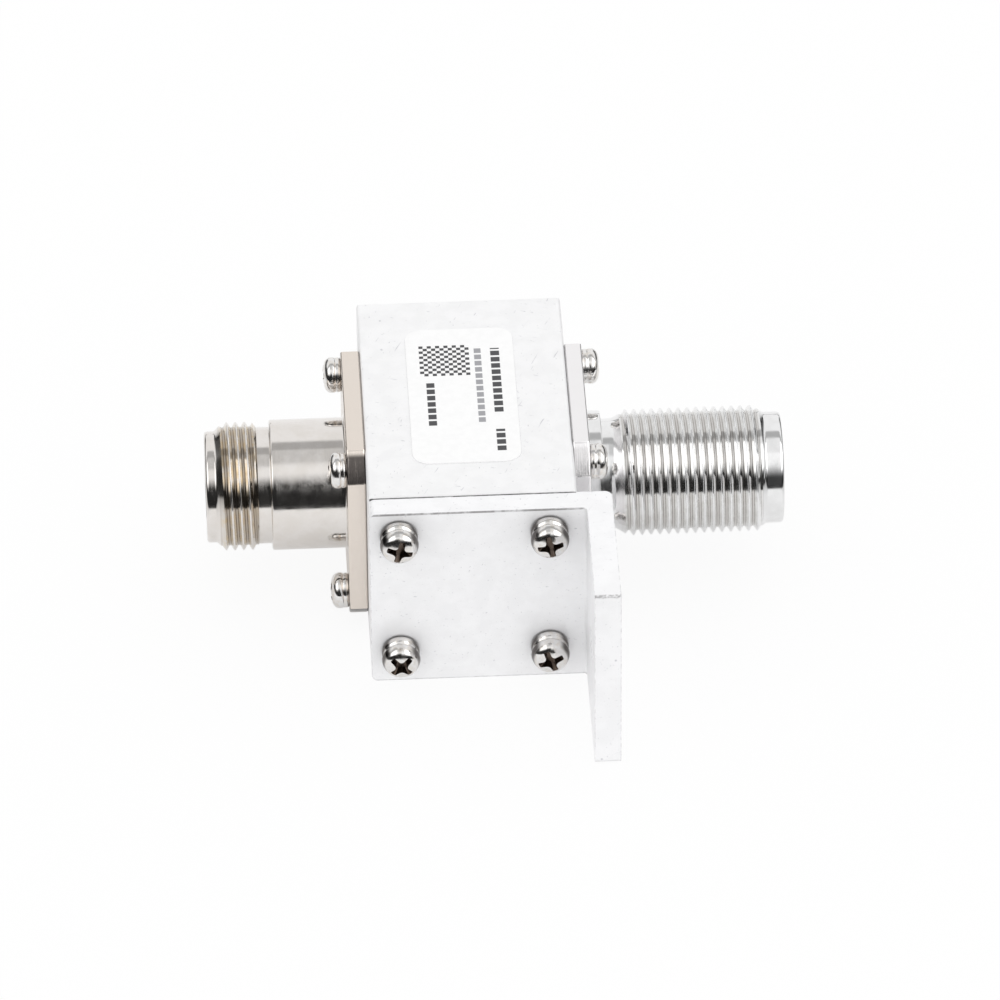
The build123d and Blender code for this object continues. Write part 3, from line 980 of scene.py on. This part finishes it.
def smooth(points: Sequence[Point], steps: int = 4) -> list[Point]:
    """Draws a smooth curve through points.

    Args:
        points: The points that it passes.
        steps: Pieces between each two of them.

    Returns:
        The points of the curve.
    """
    made: list[Point] = [points[0]]
    for index in range(len(points) - 1):
        a, b = Vector(points[max(index - 1, 0)]), Vector(points[index])
        c, d = Vector(points[index + 1]), Vector(points[min(index + 2, len(points) - 1)])
        for number in range(1, steps + 1):
            t = number / steps
            bend = (2 * a - 5 * b + 4 * c - d) * t**2 + (3 * b - a - 3 * c + d) * t**3
            spot = b + ((c - a) * t + bend) * 0.5
            made.append((spot.x, max(spot.y, 0.0)))
    return made


def level(points: Sequence[Point], where: float) -> float:
    """Finds the height of an outline at a distance, by straight lines between its points.

    Args:
        points: The outline, in rising order of distance.
        where: The distance.

    Returns:
        The height there.
    """
    for (x0, y0), (x1, y1) in zip(points, points[1:]):
        if x0 <= where <= x1 and x1 > x0:
            return y0 + (y1 - y0) * (where - x0) / (x1 - x0)
    return points[-1][1] if where > points[-1][0] else points[0][1]


def circle(radius: float, height: float, steps: int) -> list[Vector]:
    """Draws a circle about +Z.

    Args:
        radius: The circle's radius.
        height: Its height.
        steps: Number of its points.

    Returns:
        The closed loop of points.
    """
    angles = [2 * math.pi * number / steps for number in range(steps)]
    return [Vector((radius * math.cos(a), radius * math.sin(a), height)) for a in angles]


class MeshMaker:
    """Collects vertices and faces in millimetres and turns them into one object."""

    def __init__(self) -> None:
        """Starts empty."""
        self.mesh = bmesh.new()

    def strip(self, rows: Sequence[Sequence[Vector]], closed: bool = True) -> None:
        """Joins rows of points into a surface.

        Args:
            rows: Rows of the same number of points.
            closed: Whether each row comes back to its start.
        """
        grid = [[self.mesh.verts.new(point) for point in row] for row in rows]
        count = len(grid[0])
        for lower, upper in zip(grid, grid[1:]):
            for index in range(count if closed else count - 1):
                after = (index + 1) % count
                self.mesh.faces.new((lower[index], lower[after], upper[after], upper[index]))

    def fill(self, loops: Sequence[Sequence[Vector]]) -> None:
        """Fills a flat face with holes.

        Args:
            loops: The outer edge and the holes, each a closed loop of points.
        """
        edges = []
        for loop in loops:
            corners = [self.mesh.verts.new(point) for point in loop]
            pairs = zip(corners, corners[1:] + corners[:1])
            edges += [self.mesh.edges.new(pair) for pair in pairs]
        bmesh.ops.triangle_fill(self.mesh, use_beauty=True, edges=edges)

    def join(self, other: bpy.types.Mesh, place: Matrix) -> None:
        """Adds a finished mesh at a place.

        Args:
            other: The mesh, in millimetres.
            place: Where it goes.
        """
        copy = other.copy()
        copy.transform(place)
        self.mesh.from_mesh(copy)
        bpy.data.meshes.remove(copy)

    def mesh_data(self, name: str, sharp: float = 35.0) -> bpy.types.Mesh:
        """Closes the seams and returns the mesh in millimetres.

        Args:
            name: The mesh's name.
            sharp: Angle above which an edge stays sharp, in degrees.

        Returns:
            The mesh.
        """
        bmesh.ops.remove_doubles(self.mesh, verts=self.mesh.verts, dist=WELD)
        bmesh.ops.dissolve_degenerate(self.mesh, dist=SHORTEST_EDGE, edges=self.mesh.edges)
        bmesh.ops.recalc_face_normals(self.mesh, faces=self.mesh.faces)
        data = bpy.data.meshes.new(name)
        self.mesh.to_mesh(data)
        self.mesh.free()
        for face in data.polygons:
            face.use_smooth = True
        data.set_sharp_from_angle(angle=math.radians(sharp))
        return data

    def piece(
        self, name: str, finishes: Sequence[Finish], sharp: float = 35.0
    ) -> bpy.types.Object:
        """Turns what was collected into an object in metres.

        Args:
            name: The object's name.
            finishes: Its finishes, by material index.
            sharp: Angle above which an edge stays sharp, in degrees.

        Returns:
            The object, linked to the scene.
        """
        data = self.mesh_data(name, sharp)
        data.transform(Matrix.Scale(MM, 4))
        made = bpy.data.objects.new(name, data)
        bpy.context.scene.collection.objects.link(made)
        for finish in finishes:
            data.materials.append(finish.material())
        return made


# Sub-assemblies


@dataclass
class Thread:
    """Right-handed outside thread, cut into a turned outline."""

    start: float
    end: float
    crest: float
    depth: float
    crest_at: float
    pitch: float = 1.09
    crest_angle: float = math.radians(51.2)
    shape: tuple[Point, ...] = (
        (0.0, 0.0),
        (0.085, 0.015),
        (0.125, 0.08),
        (0.395, 0.9),
        (0.43, 0.97),
        (0.465, 0.995),
        (0.535, 0.995),
        (0.57, 0.97),
        (0.605, 0.9),
        (0.875, 0.08),
        (0.915, 0.015),
    )

    def rows(
        self, side: Side, half_length: float, segments: int, limit: Callable[[float], float]
    ) -> list[list[Point]]:
        """Works out the helical rows.

        Args:
            side: Which end of the block the jack is on.
            half_length: Distance from the block's middle to its end.
            segments: Steps round the axis.
            limit: Largest radius at each distance, from the turned outline.

        Returns:
            For each row, a (distance, radius) for every step round the axis, both ends included.
        """
        sign = side.value
        turns = int((self.end - self.start) / self.pitch) + 2
        # the thread's phase on the world's X, so that both ends turn the same way
        shift = self.crest_at / self.pitch - self.crest_angle / (2 * math.pi) - 0.5
        first = (sign * (half_length + self.start)) / self.pitch - shift
        lowest = math.floor(first) - 1 if sign > 0 else math.floor(first) - turns - 1
        made = []
        for turn in range(lowest, lowest + turns + 3):
            for part, height in self.shape:
                radius = self.crest - self.depth * (1 - height)
                row = []
                for index in range(segments + 1):
                    world = (turn + part + shift + index / segments) * self.pitch
                    along = min(max(sign * world - half_length, self.start), self.end)
                    row.append((along, min(radius, limit(along))))
                made.append(row)
        return made if sign > 0 else made[::-1]


@dataclass
class JackShell:
    """Square flange, threaded barrel and rear spigot of one jack, bored through in steps."""

    node: str
    slot: str
    side: Side
    finish: Finish
    flange_thickness: float
    outline: tuple[Point, ...]
    outline_radii: dict[int, float]
    thread: Thread
    half_length: float = 12.6
    flange_width: float = 25.5
    bar_diameter: float = 32.0
    flange_edge: float = 0.25
    screw_margin: float = 3.35
    clearance_hole: float = 3.1
    spigot: float = 5.4
    spigot_length: float = 1.8
    insulator_bore: float = 4.6
    mouth_bore: float = 4.2
    mouth_depth: float = 9.15
    mouth_chamfer: float = 0.3
    lip_bore: float = 3.5
    lip_length: float = 1.6
    segments: int = 160
    corner_steps: int = 8
    edge_steps: int = 4
    hole_steps: int = 32
    sharp: float = 30.0

    def spot(self, along: float, radius: float, angle: float, axis: float) -> Vector:
        """Returns a point by distance from the block's end, radius and angle from +Y to +Z."""
        x = self.side.value * (self.half_length + along)
        return Vector((x, radius * math.cos(angle), axis + radius * math.sin(angle)))

    def row(self, points: Sequence[Point], axis: float) -> list[Vector]:
        """Returns one row round the axis, from a distance and a radius at every step."""
        step = 2 * math.pi / self.segments
        return [self.spot(a, r, step * number, axis) for number, (a, r) in enumerate(points)]

    def rings(self, points: Sequence[Point], axis: float) -> list[list[Vector]]:
        """Returns a turned row for each distance and radius."""
        return [self.row([point] * (self.segments + 1), axis) for point in points]

    def turned_rows(self, axis: float) -> list[list[Vector]]:
        """Works out the turned surface, from the flange's front over the tip and back to its rear.

        Args:
            axis: Height of the line axis.

        Returns:
            Rows of points round the axis.
        """
        outer = dense(rounded(self.outline, self.outline_radii))
        helix = self.thread.rows(
            self.side, self.half_length, self.segments, lambda along: level(outer, along)
        )
        tip = outer[-1][0]
        lip = tip - self.mouth_depth
        inner = [
            (tip, self.mouth_bore + self.mouth_chamfer),
            (tip - self.mouth_chamfer, self.mouth_bore),
            (lip, self.mouth_bore),
            (lip, self.lip_bore),
            (lip - self.lip_length, self.lip_bore),
            (lip - self.lip_length, self.insulator_bore),
            (-self.spigot_length, self.insulator_bore),
            (-self.spigot_length, self.spigot),
            (0.0, self.spigot),
            (0.0, outer[0][1]),
        ]
        before = [point for point in outer if point[0] <= self.thread.start]
        beyond = [point for point in outer if point[0] >= self.thread.end]
        threaded = [self.row(points, axis) for points in helix]
        return self.rings(before, axis) + threaded + self.rings(beyond + inner, axis)

    def square(self, along: float, inset: float, axis: float) -> list[Vector]:
        """Works out the flange's edge, a square with corners turned on the line axis.

        Args:
            along: Distance from the block's end.
            inset: How much smaller the edge is on each side.
            axis: Height of the line axis.

        Returns:
            The closed loop of points.
        """
        half = self.flange_width / 2 - inset
        radius = self.bar_diameter / 2 - inset
        start = math.acos(half / radius)
        step = (math.pi / 2 - 2 * start) / self.corner_steps
        points = []
        for quarter in range(4):
            for number in range(self.corner_steps + 1):
                angle = quarter * math.pi / 2 + start + step * number
                points.append(self.spot(along, radius, angle, axis))
        return points

    def screw_holes(self, along: float, axis: float) -> list[list[Vector]]:
        """Works out the edges of the four screw holes.

        Args:
            along: Distance from the block's end.
            axis: Height of the line axis.

        Returns:
            A closed loop of points for each hole.
        """
        reach = self.flange_width / 2 - self.screw_margin
        x = self.side.value * (self.half_length + along)
        hole = circle(self.clearance_hole / 2, 0.0, self.hole_steps)
        corners = ((reach, reach), (-reach, reach), (-reach, -reach), (reach, -reach))
        return [[Vector((x, y + p.x, axis + z + p.y)) for p in hole] for y, z in corners]

    def flange(self, maker: MeshMaker, axis: float) -> None:
        """Draws the flange's rounded edge, its two faces and its screw holes.

        Args:
            maker: What collects the surface.
            axis: Height of the line axis.
        """
        edge = self.flange_edge
        angles = [math.pi / 2 * number / self.edge_steps for number in range(self.edge_steps + 1)]
        sweep = [(edge * (1 - math.cos(t)), edge * (1 - math.sin(t))) for t in angles]
        rows = [self.square(back, inset, axis) for back, inset in sweep]
        for back, inset in reversed(sweep):
            rows.append(self.square(self.flange_thickness - back, inset, axis))
        maker.strip(rows)
        middle = [(0.0, self.outline[0][1]), (self.flange_thickness, self.outline[0][1])]
        holes = [self.screw_holes(along, axis) for along, _ in middle]
        for (along, _), ring, loops in zip(middle, self.rings(middle, axis), holes):
            maker.fill([self.square(along, edge, axis), ring[:-1], *loops])
        for pair in zip(*holes):
            maker.strip(pair)

    def build(self) -> bpy.types.Object:
        """Builds the shell in place of its solid.

        Returns:
            The new piece, which rides on the frame's one body.
        """
        low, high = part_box(self.node)
        axis = (low.z + high.z) / 2 / MM
        maker = MeshMaker()
        maker.strip(self.turned_rows(axis), closed=False)
        self.flange(maker, axis)
        made = maker.piece(self.node + "_turned", [self.finish], self.sharp)
        weight = made.modifiers.new("even_normals", "WEIGHTED_NORMAL")
        weight.keep_sharp = True
        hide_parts(self.node)
        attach(made, "root")
        return made


@dataclass
class ScrewSet:
    """Four cross-recess screws on one plate, each with a split spring washer under its head."""

    node: str
    facing: Facing
    spacing: Point
    turns: tuple[float, float, float, float]
    head: tuple[Point, ...]
    washer: tuple[Point, ...]
    finish: Finish = Palette.flange_fasteners
    slot: str = "fasteners"
    shank_radius: float = 1.42
    shank_end: float = 0.35
    washer_bore: float = 1.5
    washer_gap: float = 8.0
    washer_lean: float = 14.0
    cross_reach: float = 1.4
    cross_half: float = 0.42
    cross_corner: float = 0.45
    cross_round: float = 0.7
    cross_nib: float = 0.3
    cross_depth: float = 1.05
    cross_foot: float = 0.67
    foot_share: float = 0.55
    cutter_rise: float = 0.4
    cutter_spread: Point = (0.3, 0.06)
    segments: int = 72
    sharp: float = 40.0

    def places(self) -> list[Matrix]:
        """Works out where each screw stands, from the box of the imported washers.

        Returns:
            The place and the turn of each screw.
        """
        low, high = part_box(self.node + "_washers")
        turn = self.facing.turn()
        out = turn.col[2]
        middle = (low + high) / 2 / MM
        middle -= out * abs((high - low).dot(out)) / 2 / MM
        across, up = self.spacing
        made = []
        for side in (-0.5, 0.5):
            for rise in (-0.5, 0.5):
                spot = middle + turn.col[0] * side * across + turn.col[1] * rise * up
                made.append(Matrix.Translation(spot) @ turn.to_4x4())
        return made

    def cross(self, height: float, reach: float, half: float) -> list[Vector]:
        """Works out the outline of the cross at a height.

        Args:
            height: Height above the plate.
            reach: Distance from the axis to an arm's end.
            half: Half the width of an arm.

        Returns:
            The closed outline.
        """
        corner = min(self.cross_corner, self.cross_round * (reach - half))
        nib = self.cross_nib * half
        quarter = [(reach, half - nib), (reach - nib, half)]
        for degrees in range(270, 179, -15):
            angle = math.radians(degrees)
            x, y = half + corner * (1 + math.cos(angle)), half + corner * (1 + math.sin(angle))
            quarter.append((x, y))
        quarter += [(half, reach - nib), (half - nib, reach)]
        made = []
        for turn in range(4):
            spin = Matrix.Rotation(math.radians(90 * turn), 3, "Z")
            made += [spin @ Vector((x, y, height)) for x, y in quarter]
        return made

    def screw_mesh(self, seat: float, depth: float) -> bpy.types.Mesh:
        """Makes one screw with its head above the washer and its cross cut out.

        Args:
            seat: Height of the head's underside above the plate.
            depth: Depth of the shank's end below the plate.

        Returns:
            The mesh, whose second material is the cross.
        """
        profile = [
            (-depth, 0.0),
            (-depth, self.shank_radius - self.shank_end),
            (self.shank_end - depth, self.shank_radius),
            (seat, self.shank_radius),
        ]
        profile += [(seat + height, radius) for height, radius in smooth(self.head)]
        body = MeshMaker()
        body.strip([circle(radius, height, self.segments) for height, radius in profile])
        blank = body.piece(self.node + "_blank", [self.finish])
        crown = seat + self.head[-1][0]
        wider, fatter = self.cutter_spread
        foot_half, top_half = self.foot_share * self.cross_half, self.cross_half + fatter
        rows = [
            self.cross(crown - self.cross_depth, self.cross_foot, foot_half),
            self.cross(crown + self.cutter_rise, self.cross_reach + wider, top_half),
        ]
        tool = MeshMaker()
        tool.strip(rows)
        for row in rows:
            tool.fill([row])
        cutter = tool.piece(self.node + "_cutter", [Palette.recess])
        cut = blank.modifiers.new("cross", "BOOLEAN")
        cut.operation = "DIFFERENCE"
        cut.solver = "EXACT"
        cut.material_mode = "TRANSFER"
        cut.object = cutter
        state = bpy.context.evaluated_depsgraph_get()
        made = bpy.data.meshes.new_from_object(blank.evaluated_get(state))
        made.transform(Matrix.Scale(1 / MM, 4))
        for spare in (blank, cutter):
            data = spare.data
            bpy.data.objects.remove(spare)
            bpy.data.meshes.remove(data)
        return made

    def washer_mesh(self) -> bpy.types.Mesh:
        """Makes one spring washer, an almost closed ring with a leaning gap.

        Returns:
            The mesh.
        """
        outer = smooth(self.washer)
        thickness = outer[-1][0]
        section = outer + [(thickness, self.washer_bore), (0.0, self.washer_bore)]
        step = (360 - self.washer_gap) / self.segments
        rows = []
        for height, radius in section + section[:1]:
            lean = self.washer_lean * (height / thickness - 0.5)
            start = self.washer_gap / 2 + lean - 90
            angles = [math.radians(start + step * number) for number in range(self.segments + 1)]
            spots = [(radius * math.cos(angle), radius * math.sin(angle)) for angle in angles]
            rows.append([Vector((x, y, height)) for x, y in spots])
        maker = MeshMaker()
        maker.strip(rows, closed=False)
        for end in (0, -1):
            maker.fill([[row[end] for row in rows[:-1]]])
        return maker.mesh_data(self.node + "_washer_master")

    def build(self) -> list[bpy.types.Object]:
        """Builds the four screws and the four washers in place of their solids.

        Returns:
            The piece with the screws and the piece with the washers.
        """
        low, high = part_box(self.node + "_screws")
        thickness = self.washer[-1][0]
        length = abs((high - low).dot(self.facing.turn().col[2])) / MM
        masters = {
            "_screws": self.screw_mesh(thickness, length - thickness - self.head[-1][0]),
            "_washers": self.washer_mesh(),
        }
        pieces = []
        for ending, master in masters.items():
            maker = MeshMaker()
            for place, turn in zip(self.places(), self.turns):
                angle = turn if ending == "_screws" else turn / 2
                maker.join(master, place @ Matrix.Rotation(math.radians(angle), 4, "Z"))
            finishes = [self.finish, Palette.recess]
            made = maker.piece(self.node + ending + "_made", finishes, self.sharp)
            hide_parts(self.node + ending)
            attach(made, "root")
            pieces.append(made)
            bpy.data.meshes.remove(master)
        return pieces


@dataclass
class FinishedNode:
    """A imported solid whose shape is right, given its finish."""

    node: str
    finish: Finish

    def dress(self, nodes: dict[str, bpy.types.Object]) -> bpy.types.Object:
        """Puts the finish in the solid's material slots.

        Args:
            nodes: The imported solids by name.

        Returns:
            The solid's object.
        """
        target = nodes[self.node]
        if not target.material_slots:
            target.data.materials.append(None)
        for holder in target.material_slots:
            holder.material = self.finish.material()
        return target


@dataclass
class Studio:
    """White floor and surroundings, and the camera at the photograph's angle."""

    axis_height: float = 13.1
    right_axis: Triple = (0.99878, -0.04899, -0.00631)
    up_axis: Triple = (0.0356, 0.62570, 0.77925)
    back_axis: Triple = (-0.03423, -0.77852, 0.62670)
    distance: float = 1216.348
    shift_right: float = -4.175654
    shift_up: float = 2.727799
    lens: float = 356.62
    sensor: float = 36.0
    clip: Span = (0.01, 100.0)
    floor_reach: float = 4000.0
    floor_drop: float = 0.02
    floor_colour: Colour = (0.98, 0.98, 0.98)
    floor_sides: Ramp = (40.0, 110.0, 1.0, 0.55)
    floor_ahead: Ramp = (100.0, 165.0, 1.0, 0.05)
    floor_glow: float = 0.35
    eye_glow: float = 0.55
    diffuse_glow: float = 0.9
    left_levels: tuple[Triple, ...] = (
        (-16.0, -8.0, -0.33),
        (10.0, 20.0, 0.33),
        (30.0, 57.0, -0.95),
    )
    right_levels: tuple[Triple, ...] = (
        (-16.0, -8.0, -0.04),
        (18.0, 26.0, 0.18),
        (41.0, 74.0, -1.06),
    )
    start_level: float = 0.97
    least_level: float = 0.02
    strip: Triple = (-29.0, -12.0, 3.0)
    strip_depth: float = 0.5
    ends_meet: Span = (0.026, 0.038)
    side_start: Span = (0.3, 0.42)
    side_delay: float = 6.0
    side_rise: Ramp = (0.12, 0.5, 0.1, 1.0)
    left_end: Ramp = (-0.91, -0.84, 0.28, 1.0)
    right_end: Ramp = (0.86, 0.94, 0.0, 0.75)
    lamps: tuple[Triple, ...] = ((-6.0, 62.0, 0.75), (-6.0, 22.0, 0.55))
    lamp_soft: float = 3.0

    def build(self) -> None:
        """Builds the floor, the surroundings and the camera."""
        self.build_floor()
        self.build_world()
        self.build_camera()

    def build_floor(self) -> bpy.types.Object:
        """Lays a white floor that keeps a faint shadow under the part.

        Returns:
            The floor.
        """
        ends = (-self.floor_reach, self.floor_reach)
        maker = MeshMaker()
        rows = [[Vector((x, y, -self.floor_drop)) for x in ends] for y in ends]
        maker.strip(rows, closed=False)
        made = maker.piece("studio_floor", [])
        made.data.materials.append(self.floor_material())
        return made

    def floor_material(self) -> bpy.types.Material:
        """Makes the floor's white, which is lit by itself and fades in far reflections.

        Returns:
            The material.
        """
        made = bpy.data.materials.new("floor_white")
        made.use_nodes = True
        graph = Graph(made.node_tree)
        path = graph.node("ShaderNodeLightPath")
        eye, diffuse = path.outputs["Is Camera Ray"], path.outputs["Is Diffuse Ray"]
        x, y, _ = graph.split(graph.place())
        away = graph.distance(x, graph.math("MINIMUM", y, 0.0))
        fade = graph.times(
            graph.step(graph.size(x), *self.floor_sides), graph.step(away, *self.floor_ahead)
        )
        fade = graph.most(fade, eye, diffuse)
        matte = graph.node("ShaderNodeBsdfDiffuse")
        graph.put(graph.mix(fade, (0.0, 0.0, 0.0), self.floor_colour), matte.inputs["Color"])
        glow = graph.node("ShaderNodeEmission")
        graph.put(fade, glow.inputs["Strength"])
        shown = graph.plus(graph.times(eye, self.eye_glow), self.floor_glow)
        share = graph.most(shown, graph.times(diffuse, self.diffuse_glow))
        both = graph.feed(
            graph.node("ShaderNodeMixShader"), share, matte.outputs[0], glow.outputs[0]
        )
        graph.feed(graph.node("ShaderNodeOutputMaterial"), both.outputs[0])
        return made

    def build_world(self) -> None:
        """Makes the surroundings: even white light, and the studio's panels for reflections."""
        world = bpy.data.worlds.new("studio_surroundings")
        world.use_nodes = True
        bpy.context.scene.world = world
        graph = Graph(world.node_tree)
        x, y, z = graph.split(graph.node("ShaderNodeTexCoord").outputs["Generated"])
        lean = graph.math("DEGREES", graph.math("ARCTAN2", graph.times(y, -1.0), z))
        lamps = [
            graph.times(graph.band(lean, start, end, self.lamp_soft), gain)
            for start, end, gain in self.lamps
        ]
        side = graph.times(
            self.room(graph, x, graph.minus(lean, self.side_delay)),
            graph.step(z, *self.side_rise),
            graph.plus(1.0, *lamps),
            graph.step(x, *self.left_end),
        )
        side = graph.most(side, graph.step(x, *self.right_end))
        aside = graph.step(graph.size(x), *self.side_start)
        seen = self.blend(graph, aside, self.room(graph, x, lean), side)
        mirror = graph.node("ShaderNodeLightPath").outputs["Is Glossy Ray"]
        strength = graph.plus(
            graph.times(graph.most(seen, self.least_level), mirror), graph.minus(1.0, mirror)
        )
        shade = graph.feed(graph.node("ShaderNodeBackground"), (1.0, 1.0, 1.0), strength)
        graph.feed(graph.node("ShaderNodeOutputWorld"), shade.outputs[0])

    def room(self, graph: Graph, x: Source, lean: Source) -> Socket:
        """Works out the surroundings' brightness for both ends, less the dark strip above.

        Args:
            graph: The world's node tree.
            x: How far a direction points along the line axis.
            lean: Its angle from straight up towards the front, in degrees.

        Returns:
            The brightness.
        """
        left, right = (
            self.panels(graph, lean, levels) for levels in (self.left_levels, self.right_levels)
        )
        both = self.blend(graph, graph.step(x, *self.ends_meet), left, right)
        strip = graph.times(graph.band(lean, *self.strip), self.strip_depth)
        return graph.minus(both, strip)

    def panels(self, graph: Graph, lean: Source, levels: Sequence[Triple]) -> Source:
        """Works out how bright the surroundings are, from behind over the top to the front.

        Args:
            graph: The world's node tree.
            lean: Angle from straight up towards the front, in degrees.
            levels: Where each change begins and ends, and how large it is.

        Returns:
            The brightness.
        """
        changes = [graph.step(lean, low, high, 0.0, change) for low, high, change in levels]
        return graph.plus(self.start_level, *changes)

    def blend(self, graph: Graph, share: Source, a: Source, b: Source) -> Source:
        """Returns number a turned into number b by a share."""
        return graph.plus(graph.times(a, graph.minus(1.0, share)), graph.times(b, share))

    def build_camera(self) -> None:
        """Sets the camera where the photograph was taken from."""
        data = bpy.data.cameras.new("studio_camera")
        data.sensor_width = self.sensor
        data.lens = self.lens
        data.clip_start, data.clip_end = self.clip
        made = bpy.data.objects.new("studio_camera", data)
        bpy.context.scene.collection.objects.link(made)
        right, up, back = (Vector(axis) for axis in (self.right_axis, self.up_axis, self.back_axis))
        place = Vector((0.0, 0.0, self.axis_height)) + back * self.distance
        place -= right * self.shift_right + up * self.shift_up
        turn = Matrix((right, up, back)).transposed()
        made.matrix_world = Matrix.Translation(place * MM) @ turn.to_4x4()
        bpy.context.scene.camera = made


def left_shell() -> JackShell:
    """Sets up the shell of the short-threaded jack.

    Returns:
        The shell.
    """
    flange, barrel, relief, thread, taper, nose = 2.3, 9.12, 1.58, 4.65, 0.5, 1.25
    barrel_end = flange + barrel
    thread_start = barrel_end + relief
    thread_end = thread_start + thread
    nose_start = thread_end + taper
    tip = nose_start + nose
    barrel_radius, relief_radius, crest, nose_radius, mouth_radius = 8.0, 7.15, 7.875, 6.825, 4.5
    run_in = 0.55
    outline = (
        (flange, 8.45),
        (flange, barrel_radius),
        (barrel_end, barrel_radius),
        (barrel_end, relief_radius),
        (thread_start, relief_radius),
        (thread_start + run_in, crest),
        (thread_end - run_in, crest),
        (nose_start, nose_radius),
        (tip, nose_radius),
        (tip, mouth_radius),
    )
    return JackShell(
        node="left_jack_shell",
        slot="left_plating",
        side=Side.LEFT,
        finish=Palette.left_plating,
        flange_thickness=flange,
        outline=outline,
        outline_radii={1: 0.42, 2: 0.3, 3: 0.12, 7: 0.2, 8: 0.45},
        thread=Thread(thread_start, nose_start, crest=crest, depth=0.62, crest_at=-28.09),
    )


def right_shell() -> JackShell:
    """Sets up the shell of the long-threaded jack.

    Returns:
        The shell.
    """
    flange, collar, neck, flare, thread, taper, nose = 2.1, 1.9, 1.5, 1.6, 16.4, 0.45, 2.2
    collar_end = flange + collar
    neck_end = collar_end + neck
    thread_start = neck_end + flare
    thread_end = thread_start + thread
    nose_start = thread_end + taper
    tip = nose_start + nose
    neck_radius, crest, nose_radius, mouth_radius = 6.7, 7.75, 6.825, 4.5
    run_in, run_out = 0.95, 0.55
    outline = (
        (flange, 8.0),
        (flange, crest),
        (collar_end, crest),
        (collar_end, neck_radius),
        (neck_end, neck_radius),
        (thread_start, crest),
        (thread_end - run_out, crest),
        (nose_start, nose_radius),
        (tip, nose_radius),
        (tip, mouth_radius),
    )
    return JackShell(
        node="right_jack_shell",
        slot="right_plating",
        side=Side.RIGHT,
        finish=Palette.right_plating,
        flange_thickness=flange,
        outline=outline,
        outline_radii={1: 0.2, 2: 0.15, 3: 0.12, 4: 0.5, 7: 0.2, 8: 0.45},
        thread=Thread(thread_start - run_in, nose_start, crest=crest, depth=0.62, crest_at=28.5),
    )


def screw_sets() -> list[ScrewSet]:
    """Sets up the bracket's screws and those of both flanges.

    Returns:
        The three sets.
    """
    flange_head = (
        (0.0, 2.1),
        (0.12, 2.16),
        (0.4, 2.2),
        (0.75, 2.15),
        (1.05, 1.96),
        (1.27, 1.65),
        (1.41, 1.2),
        (1.51, 0.6),
        (1.55, 0.0),
    )
    flange_washer = ((0.0, 1.96), (0.1, 2.07), (0.35, 2.14), (0.58, 2.13), (0.7, 2.09))
    bracket_head = (
        (0.0, 1.9),
        (0.1, 2.2),
        (0.35, 2.34),
        (0.7, 2.29),
        (1.1, 2.15),
        (1.42, 1.96),
        (1.64, 1.7),
        (1.8, 1.35),
        (1.98, 0.7),
        (2.05, 0.0),
    )
    bracket_washer = ((0.0, 1.9), (0.15, 2.15), (0.55, 2.3), (0.95, 2.24), (1.3, 2.04), (1.6, 1.72))
    bracket = ScrewSet(
        "bracket",
        Facing.FRONT,
        spacing=(18.15, 17.85),
        turns=(45, 75, 22, 12),
        head=bracket_head,
        washer=bracket_washer,
        finish=Palette.bracket_fasteners,
        cross_reach=1.95,
        cross_foot=0.9,
    )
    flanges = [
        ScrewSet(node, facing, (18.8, 18.8), turns, flange_head, flange_washer)
        for node, facing, turns in (
            ("left_flange", Facing.LEFT, (10, 35, 70, 55)),
            ("right_flange", Facing.RIGHT, (25, 80, 5, 48)),
        )
    ]
    return [bracket, *flanges]


def finished_nodes() -> list[FinishedNode]:
    """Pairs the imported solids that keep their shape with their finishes.

    Returns:
        The pairs.
    """
    pairs: dict[str, Finish] = {
        "housing_block": Palette.block,
        "mounting_bracket": Palette.bracket,
        "label": Palette.label,
        "left_insulator": Palette.insulation,
        "right_insulator": Palette.insulation,
        "left_contact": Palette.contact_plating,
        "right_contact": Palette.contact_plating,
        "left_line_rod": Palette.line_metal,
        "right_line_rod": Palette.line_metal,
        "surge_plug": Palette.line_metal,
        "blocking_capacitor": Palette.capacitor,
        "left_seal": Palette.seal,
        "right_seal": Palette.seal,
        "surge_tube_shell": Palette.tube,
        "surge_tube_line_electrode": Palette.electrode,
        "surge_tube_ground_electrode": Palette.electrode,
        "contact_springs": Palette.spring,
    }
    return [FinishedNode(node, finish) for node, finish in pairs.items()]


def main() -> None:
    """Builds and dresses everything in order."""
    logging.basicConfig(level=logging.INFO, format="%(name)s: %(message)s")
    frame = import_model()
    bpy.context.scene.view_settings.view_transform = "Standard"
    for holder in finished_nodes():
        holder.dress(frame["nodes"])
        log.info("dressed %s", holder.node)
    for shell in (left_shell(), right_shell()):
        piece = shell.build()
        log.info("built %s with %d faces", piece.name, len(piece.data.polygons))
    for screws in screw_sets():
        for piece in screws.build():
            log.info("built %s with %d faces", piece.name, len(piece.data.polygons))
    Studio().build()


if __name__ == "__main__":
    main()
